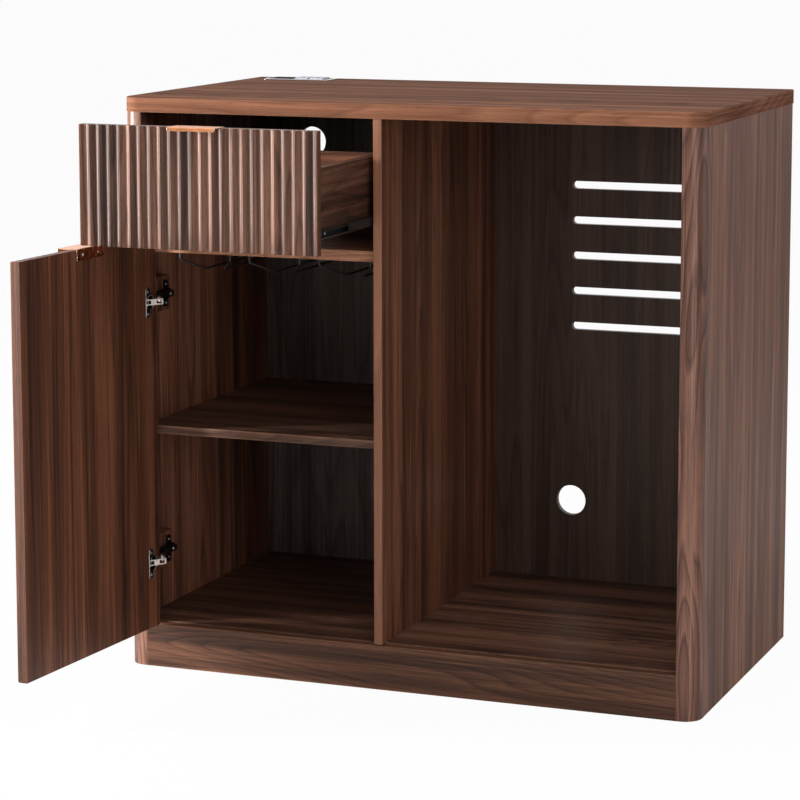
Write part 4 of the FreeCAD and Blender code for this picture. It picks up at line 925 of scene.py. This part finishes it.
@dataclass
class DrawerBox:
    """Boards of the drawer behind its front, and their locks."""

    side_tones: Tones = ("#22140d", "#43291f", "#6d4939")

    def build(self) -> None:
        """Dress the drawer's boards and locks."""
        for seed, side in enumerate(("left", "right"), start=51):
            # The wider rounded edge widens the pale edge colour: a painted highlight along the
            # sides' top edges
            cut_board("drawer_side_" + side, Grain.ALONG_Y, seed, self.side_tones,
                      edge_radius=1.3)
        cut_board("drawer_back", Grain.ALONG_X, 53)
        cut_board("drawer_base", Grain.ALONG_Y, 54)
        # Zinc, die-cast and left bare: a dull grey shine
        dress(PlatedMetal("zinc_cast_cams", "#8f8a80", 0.4), "drawer_cams")


@dataclass
class MetalFittings:
    """Pulls, slides and hinges."""

    copper: str = "#f8a873"
    copper_edge_highlight: str = "#fff3e6"
    cup_rim_highlight: str = "#fffaf4"

    def build(self) -> None:
        """Dress every metal fitting."""
        # Copper plate, brushed along the pull: a warm streak of light, and near-white rounded
        # edges that paint a highlight on the front lip
        for piece, grain in (("drawer_pull", Grain.ALONG_X), ("door_pull", Grain.ALONG_Y)):
            dress(PlatedMetal("copper_plated_" + piece, self.copper, 0.24, grain, 0.5,
                              edge_radius=1.4, edge=self.copper_edge_highlight), piece)
        # Rolled steel under black phosphate: a dull black that hardly shines
        dress(Coating("black_phosphate_slides", "#0b0b0d", 0.4, relief=0.02),
              *(f"slide_{member}_{side}" for member in ("outer", "middle", "inner")
                for side in ("left", "right")))
        # Pressed steel under brushed nickel: the pale silver that stands out in the hinge
        dress(PlatedMetal("nickel_plated_hinge", "#efe2dc", 0.42, Grain.ALONG_Z, 0.3),
              *(f"hinge_{link}_link_{rise}" for link in ("swing", "carry")
                for rise in ("lower", "upper")))
        # Pressed steel under black nickel: dark grey with soft glints; the cups' wide rounded rim
        # is painted near white, a painted highlight
        dress(PlatedMetal("black_nickel_arms", "#55504e", 0.35, Grain.ALONG_Y, 0.3),
              "hinge_arm_lower", "hinge_arm_upper")
        dress(PlatedMetal("black_nickel_cups", "#454244", 0.35, Grain.ALONG_Z, 0.3,
                          edge_radius=2.0, edge=self.cup_rim_highlight),
              "hinge_cup_lower", "hinge_cup_upper")
        dress(PlatedMetal("black_nickel_plates", "#3a3a3c", 0.3, Grain.ALONG_Z, 0.3),
              "hinge_plate_lower", "hinge_plate_upper")


@dataclass
class PowerOutlet:
    """Outlet strip that is let into the top."""

    def build(self) -> None:
        """Dress the outlet's mouldings."""
        # Chrome plate: almost a mirror, so the frame shows as a bright line
        dress(PlatedMetal("chrome_plated_frame", "#dcdcde", 0.08), "outlet_frame")
        # ABS, moulded matt: black without a shine, a little glossier on the charger
        dress(Coating("black_moulded_housing", "#050607", 0.7, gloss=0.0), "outlet_body")
        dress(Coating("black_moulded_charger", "#0a0d10", 0.6, gloss=0.02), "outlet_charger")
        # ABS, moulded satin: an even pale grey
        dress(Coating("pale_moulded_sockets", "#b9bac4", 0.5, gloss=0.1), "outlet_sockets")


@dataclass
class Racks:
    """Bent wires that carry stem glasses by their feet."""

    wire: float = 2.0
    wire_sides: int = 16
    bend: float = 6.0
    bend_steps: int = 6
    rail: float = 17.0
    stub_y: float = -269.0
    nose_y: float = -229.0
    tail_y: float = 108.0
    tail_run: float = 18.0
    stub_drop: float = 11.0
    rail_drop: float = 30.0
    foot_radius: float = 6.5
    foot_sides: int = 28
    foot_back: float = 8.0

    def route(self) -> bpy.types.Mesh:
        """Lay out the corners of the wires.

        Returns:
            The corners as joined edges, with the feet marked.
        """
        points: list[Vector] = []
        edges: list[tuple[int, int]] = []
        ends: list[float] = []
        rail_rise = SHELF_UNDER - self.rail_drop
        side = [(RACK_STUB, self.stub_y, SHELF_UNDER - RACK_FOOT / 2),
                (RACK_STUB, self.stub_y, SHELF_UNDER - self.stub_drop),
                (self.rail, self.nose_y, rail_rise), (self.rail, self.tail_y, rail_rise),
                (self.rail, self.tail_y + self.tail_run, SHELF_UNDER - self.wire)]
        for middle in RACK_MIDDLES:
            row = [(middle - x, y, z) for x, y, z in side]
            row += [(middle + x, y, z) for x, y, z in reversed(side)]
            first = len(points)
            points += [Vector(point) * MM for point in row]
            edges += [(first + i, first + i + 1) for i in range(len(row) - 1)]
            ends += [1.0 if i in (0, len(row) - 1) else 0.0 for i in range(len(row))]
        mesh = bpy.data.meshes.new("rack_route")
        mesh.from_pydata(points, edges, [])
        mark = mesh.attributes.new("foot", "FLOAT", "POINT")
        mark.data.foreach_set("value", ends)
        return mesh

    def recipe(self, finish: Coating) -> Recipe:
        """Make the rule of bent round wire with flattened feet.

        Args:
            finish: The wire's finish.

        Returns:
            The rule, with the wire's sizes as inputs.
        """
        rule = Recipe("rack_wires")
        start = rule.entry.outputs[0]
        line = rule.add("GeometryNodeMeshToCurve", {"Mesh": start})
        bent = rule.add("GeometryNodeFilletCurve",
                        {"Curve": line, "Count": self.bend_steps,
                         "Radius": rule.size("Bend radius"), "Limit Radius": True}, mode="POLY")
        ring = rule.add("GeometryNodeCurvePrimitiveCircle",
                        {"Resolution": self.wire_sides, "Radius": rule.size("Wire radius")},
                        mode="RADIUS")
        wire = rule.add("GeometryNodeCurveToMesh",
                        {"Curve": bent, "Profile Curve": ring, "Fill Caps": True})
        smooth = rule.add("GeometryNodeSetShadeSmooth",
                          {"Geometry": wire, "Shade Smooth": True})
        thick, back = rule.size("Foot thickness"), rule.size("Foot set-back")
        pad = rule.add("GeometryNodeMeshCylinder",
                       {"Vertices": self.foot_sides, "Radius": rule.size("Foot radius"),
                        "Depth": thick}, fill_type="NGON")
        box = rule.add("ShaderNodeCombineXYZ",
                       {"X": rule.size("Wire radius") * 2.0, "Y": back, "Z": thick})
        neck = rule.add("GeometryNodeMeshCube", {"Size": box})
        parts = []
        for part, away in ((pad, back), (neck, back * 0.5)):
            behind = rule.add("ShaderNodeCombineXYZ", {"Y": away})
            parts.append(rule.add("GeometryNodeTransform",
                                  {"Geometry": part, "Translation": behind}))
        foot = rule.add("GeometryNodeJoinGeometry", {"Geometry": parts})
        mark = rule.add("GeometryNodeInputNamedAttribute", {"Name": "foot"}, data_type="FLOAT")
        chosen = rule.add("FunctionNodeCompare", {0: mark, 1: 0.5}, data_type="FLOAT",
                          operation="GREATER_THAN")
        feet = rule.add("GeometryNodeInstanceOnPoints",
                        {"Points": start, "Selection": chosen, "Instance": foot})
        joined = rule.add("GeometryNodeJoinGeometry", {"Geometry": [smooth, feet]})
        rule.close(joined, finish.material())
        return rule

    def build(self) -> None:
        """Build the three racks as one mesh."""
        # Steel wire under black powder paint: satin black with one soft line of light
        rule = self.recipe(Coating("black_powder_coated_wire", "#0f1012", 0.4))
        values = {"Bend radius": self.bend * MM, "Wire radius": self.wire * MM,
                  "Foot thickness": RACK_FOOT * MM, "Foot set-back": self.foot_back * MM,
                  "Foot radius": self.foot_radius * MM}
        mesh = rule.make(self.route(), values, Matrix.Identity(4))
        show("glass_rack_wires", mesh, "cabinet",
             [f"glass_rack_{number}" for number in (1, 2, 3)])


@dataclass
class Screw:
    """A row of like screws: where they seat, which way they face and how big their heads are."""

    places: list[Place]
    facing: Place
    radius: float
    tall: float


@dataclass
class Screws:
    """Cross-recessed screw heads, one mesh for each moving body."""

    # Zinc plate on steel: a cool bright glint
    finish: PlatedMetal = PlatedMetal("zinc_plated_screws", "#bfc0c4", 0.28, brushed=0.1)
    recess_long_share: float = 1.15
    recess_wide_share: float = 0.3
    recess_lift: float = 1.05
    head_segments: int = 20
    head_rings: int = 10
    weld_share: float = 0.0001
    rack_y: float = -261.0
    hinge_y: float = -208.0
    wing_x: float = -467.5
    wing_reach: float = 16.0
    clamp_x: float = -459.1
    cup_x: float = -440.0
    cup_face: float = -273.0
    cup_reach: float = 19.0
    slide_rows: tuple[float, float] = (-237.0, -7.0)
    slide_rise: float = 785.5
    outer_slides: tuple[float, float] = (-469.3, -51.7)
    inner_slides: tuple[float, float] = (-459.0, -62.0)
    pull_reach: float = 23.5
    pull_face: float = -272.8
    drawer_pull_rise: float = 943.0
    door_pull_rise: float = 742.0
    # Radius and height of each kind of head
    rack_head: tuple[float, float] = (3.0, 1.6)
    plate_head: tuple[float, float] = (2.8, 0.9)
    clamp_head: tuple[float, float] = (3.2, 1.5)
    slide_head: tuple[float, float] = (2.8, 1.3)
    pull_head: tuple[float, float] = (2.6, 1.4)

    def recipe(self) -> Recipe:
        """Make the rule that sets a cross-recessed head on each place.

        Returns:
            The rule, with the recess as inputs, in shares of the head's radius.
        """
        rule = Recipe("cross_recessed_heads")
        ball = rule.add("GeometryNodeMeshUVSphere",
                        {"Segments": self.head_segments, "Rings": self.head_rings,
                         "Radius": 1.0})
        x, y, z = rule.position()
        above = rule.add("ShaderNodeCombineXYZ", {"X": x, "Y": y, "Z": z.work("MAXIMUM", 0.0)})
        dome = rule.add("GeometryNodeSetPosition", {"Geometry": ball, "Position": above})
        merged = rule.add("GeometryNodeMergeByDistance",
                          {"Geometry": dome, "Distance": self.weld_share})
        long, wide = rule.size("Recess length"), rule.size("Recess width")
        bars = []
        for first, second in ((long, wide), (wide, long)):
            box = rule.add("ShaderNodeCombineXYZ", {"X": first, "Y": second, "Z": 1.0})
            bar = rule.add("GeometryNodeMeshCube", {"Size": box})
            bars.append(rule.add("GeometryNodeTransform",
                                 {"Geometry": bar, "Translation": (0.0, 0.0, self.recess_lift)}))
        cut = rule.add("GeometryNodeMeshBoolean", {"Mesh 1": merged, "Mesh 2": bars},
                       operation="DIFFERENCE", solver="EXACT")
        facing = rule.add("GeometryNodeInputNamedAttribute", {"Name": "facing"},
                          data_type="FLOAT_VECTOR")
        size = rule.add("GeometryNodeInputNamedAttribute", {"Name": "head"},
                        data_type="FLOAT_VECTOR")
        turned = rule.add("FunctionNodeAlignRotationToVector", {"Vector": facing}, axis="Z")
        heads = rule.add("GeometryNodeInstanceOnPoints",
                         {"Points": rule.entry.outputs[0], "Instance": cut,
                          "Rotation": turned, "Scale": size})
        rule.close(heads, self.finish.material(), False)
        return rule

    def seats(self, name: str, rows: Sequence[Screw]) -> bpy.types.Mesh:
        """Set out the places of the screws.

        Args:
            name: The mesh's name.
            rows: The rows of screws.

        Returns:
            Points that carry the way each head faces and its size.
        """
        mesh = bpy.data.meshes.new(name)
        spots = [Vector(place) * MM for row in rows for place in row.places]
        mesh.from_pydata(spots, [], [])
        facing = [row.facing for row in rows for _ in row.places]
        heads = [(row.radius * MM, row.radius * MM, row.tall * MM)
                 for row in rows for _ in row.places]
        for title, values in (("facing", facing), ("head", heads)):
            data = mesh.attributes.new(title, "FLOAT_VECTOR", "POINT").data
            data.foreach_set("vector", [share for value in values for share in value])
        return mesh

    def slide_row(self, x: float, way: int) -> Screw:
        """Return the screws of a slide member, which face left or right from their place."""
        places = [(x, y, self.slide_rise) for y in self.slide_rows]
        return Screw(places, (way, 0, 0), *self.slide_head)

    def pull_row(self, rise: float) -> Screw:
        """Return the screws of a pull at its height."""
        places = [(FRONT_MIDDLE + side * self.pull_reach, self.pull_face, rise) for side in SIDES]
        return Screw(places, (0, 1, 0), *self.pull_head)

    def cabinet_rows(self) -> list[Screw]:
        """Place the screws of the racks, the hinges' plates and arms, and the outer slides.

        Returns:
            The rows of screws.
        """
        rack = [(x + side * RACK_STUB, self.rack_y, SHELF_UNDER - RACK_FOOT)
                for x in RACK_MIDDLES for side in SIDES]
        wings = [(self.wing_x, self.hinge_y, rise + side * self.wing_reach)
                 for rise in HINGE_RISES for side in SIDES]
        clamps = [(self.clamp_x, self.hinge_y, rise) for rise in HINGE_RISES]
        left, right = self.outer_slides
        return [Screw(rack, (0, 0, -1), *self.rack_head),
                Screw(wings, (1, 0, 0), *self.plate_head),
                Screw(clamps, (1, 0, 0), *self.clamp_head),
                self.slide_row(left, 1), self.slide_row(right, -1)]

    def build(self, drawer_move: Matrix, door_move: Matrix) -> None:
        """Build the screws of the cabinet, the drawer and the door.

        Args:
            drawer_move: The drawer's way from shut to open.
            door_move: The door's way from shut to open.
        """
        cups = [(self.cup_x, self.cup_face, rise + side * self.cup_reach)
                for rise in HINGE_RISES for side in SIDES]
        left, right = self.inner_slides
        drawer = [self.pull_row(self.drawer_pull_rise), self.slide_row(left, -1),
                  self.slide_row(right, 1)]
        door = [self.pull_row(self.door_pull_rise), Screw(cups, (0, 1, 0), *self.plate_head)]
        rule = self.recipe()
        shares = {"Recess length": self.recess_long_share,
                  "Recess width": self.recess_wide_share}
        for body, rows, move, nodes in (
                ("cabinet", self.cabinet_rows(), Matrix.Identity(4),
                 ["rack_screws", "hinge_mount_screws", "slide_case_screws"]),
                ("drawer", drawer, drawer_move, ["drawer_pull_screws", "slide_drawer_screws"]),
                ("door", door, door_move, ["door_pull_screws", "hinge_cup_screws"])):
            mesh = rule.make(self.seats(body + "_seats", rows), shares, move)
            show(body + "_screw_heads", mesh, body, nodes)


@dataclass(frozen=True)
class Lamp:
    """A soft box light: where it hangs, its width and height in metres, and its watts."""

    name: str
    place: Place
    wide: float
    tall: float
    power: float


@dataclass
class Studio:
    """Pale floor, soft lights and the camera of the photograph."""

    eye: Place = (1.6706, -4.5881, 1.3115)
    yaw: float = 21.2785
    pitch: float = 7.6436
    roll: float = -0.056
    lens: float = 128.13
    sensor: float = 36.0
    shift: float = -0.15
    far: float = 100.0
    aim: Place = (0.0, 0.0, 0.5)
    lamps: tuple[Lamp, ...] = (Lamp("left_light", (-4.0, -1.9, 1.3), 0.7, 2.6, 420.0),
                               Lamp("top_light", (0.3, -1.3, 3.0), 1.0, 1.0, 25.0),
                               Lamp("front_light", (-1.2, -4.4, 1.6), 1.0, 1.0, 9.0),
                               Lamp("fill_light", (2.6, -3.4, 2.2), 1.4, 1.4, 20.0),
                               Lamp("corner_light", (2.48, -2.55, 0.45), 0.16, 1.1, 14.0),
                               Lamp("right_light", (3.4, 1.0, 1.6), 1.6, 1.6, 26.0))
    sky_strength: float = 0.15
    floor_grey: float = 0.8
    floor_white: float = 0.96
    floor_reach: float = 40.0

    def camera(self) -> None:
        """Stand the camera where the photograph was taken from."""
        yaw, pitch, roll = (math.radians(turn) for turn in (self.yaw, self.pitch, self.roll))
        ahead = Vector((-math.sin(yaw) * math.cos(pitch), math.cos(yaw) * math.cos(pitch),
                        -math.sin(pitch)))
        level = Vector((math.cos(yaw), math.sin(yaw), 0.0))
        upward = level.cross(ahead)
        right = level * math.cos(roll) + upward * math.sin(roll)
        top = upward * math.cos(roll) - level * math.sin(roll)
        data = bpy.data.cameras.new("camera")
        data.lens = self.lens
        data.sensor_width = self.sensor
        data.shift_y = self.shift
        data.clip_end = self.far
        body = bpy.data.objects.new("camera", data)
        turn = Matrix((right, top, -ahead)).transposed().to_4x4()
        body.matrix_world = Matrix.Translation(Vector(self.eye)) @ turn
        bpy.context.scene.collection.objects.link(body)
        bpy.context.scene.camera = body

    def hang(self, lamp: Lamp) -> None:
        """Hang one lamp, facing the cabinet.

        Args:
            lamp: The lamp.
        """
        data = bpy.data.lights.new(lamp.name, "AREA")
        data.shape = "RECTANGLE"
        data.size = lamp.wide
        data.size_y = lamp.tall
        data.energy = lamp.power
        body = bpy.data.objects.new(lamp.name, data)
        way = Vector(self.aim) - Vector(lamp.place)
        turn = way.to_track_quat("-Z", "Y").to_matrix().to_4x4()
        body.matrix_world = Matrix.Translation(Vector(lamp.place)) @ turn
        bpy.context.scene.collection.objects.link(body)

    def sky(self) -> None:
        """Surround the scene with soft light that lens, mirrors and glass see as white."""
        world = bpy.data.worlds.new("studio")
        bpy.context.scene.world = world
        tree = clear_tree(world)
        soft = add_node(tree, "ShaderNodeBackground",
                        {"Color": grey(1.0), "Strength": self.sky_strength})
        white = add_node(tree, "ShaderNodeBackground", {"Color": grey(1.0), "Strength": 1.0})
        path = add_node(tree, "ShaderNodeLightPath").outputs
        seen = Value(tree, path["Is Camera Ray"]).work("MAXIMUM", path["Is Glossy Ray"])
        seen = seen.work("MAXIMUM", path["Is Transmission Ray"])
        both = add_node(tree, "ShaderNodeMixShader", {0: seen, 1: soft, 2: white})
        add_node(tree, "ShaderNodeOutputWorld", {"Surface": both})

    def floor(self) -> None:
        """Lay the pale floor, which is seen nearly white and keeps the shadow."""
        mesh = bpy.data.meshes.new("floor")
        reach = self.floor_reach
        corners = [(-reach, -reach, 0), (reach, -reach, 0), (reach, reach, 0), (-reach, reach, 0)]
        mesh.from_pydata(corners, [], [(0, 1, 2, 3)])
        body = bpy.data.objects.new("floor", mesh)
        bpy.context.scene.collection.objects.link(body)
        # Floor paint, rolled and matt: an even pale ground
        material = bpy.data.materials.new("painted_floor")
        tree = clear_tree(material)
        paint = add_node(tree, "ShaderNodeBsdfDiffuse", {"Color": grey(self.floor_grey)})
        white = add_node(tree, "ShaderNodeEmission", {"Color": grey(1.0), "Strength": 1.0})
        path = add_node(tree, "ShaderNodeLightPath").outputs
        share = Value(tree, path["Is Camera Ray"]) * self.floor_white
        both = add_node(tree, "ShaderNodeMixShader", {0: share, 1: paint, 2: white})
        add_node(tree, "ShaderNodeOutputMaterial", {"Surface": both})
        mesh.materials.append(material)

    def build(self) -> None:
        """Set up the whole studio."""
        bpy.context.scene.view_settings.view_transform = "Standard"
        self.camera()
        self.sky()
        self.floor()
        for lamp in self.lamps:
            self.hang(lamp)


def main() -> None:
    """Build the studio and every sub-assembly in order."""
    logging.basicConfig(level=logging.INFO, format="%(name)s: %(message)s")
    drawer_move = Matrix.Translation(Vector((0.0, DRAWER_OUT, 0.0)) * MM)
    axis = Matrix.Translation(Vector(DOOR_AXIS) * MM)
    door_move = axis @ Matrix.Rotation(DOOR_TURN, 4, "Z") @ axis.inverted()
    Studio().build()
    Case().build()
    FlutedFronts().build(drawer_move, door_move)
    DrawerBox().build()
    MetalFittings().build()
    Racks().build()
    Screws().build(drawer_move, door_move)
    PowerOutlet().build()


if __name__ == "__main__":
    main()
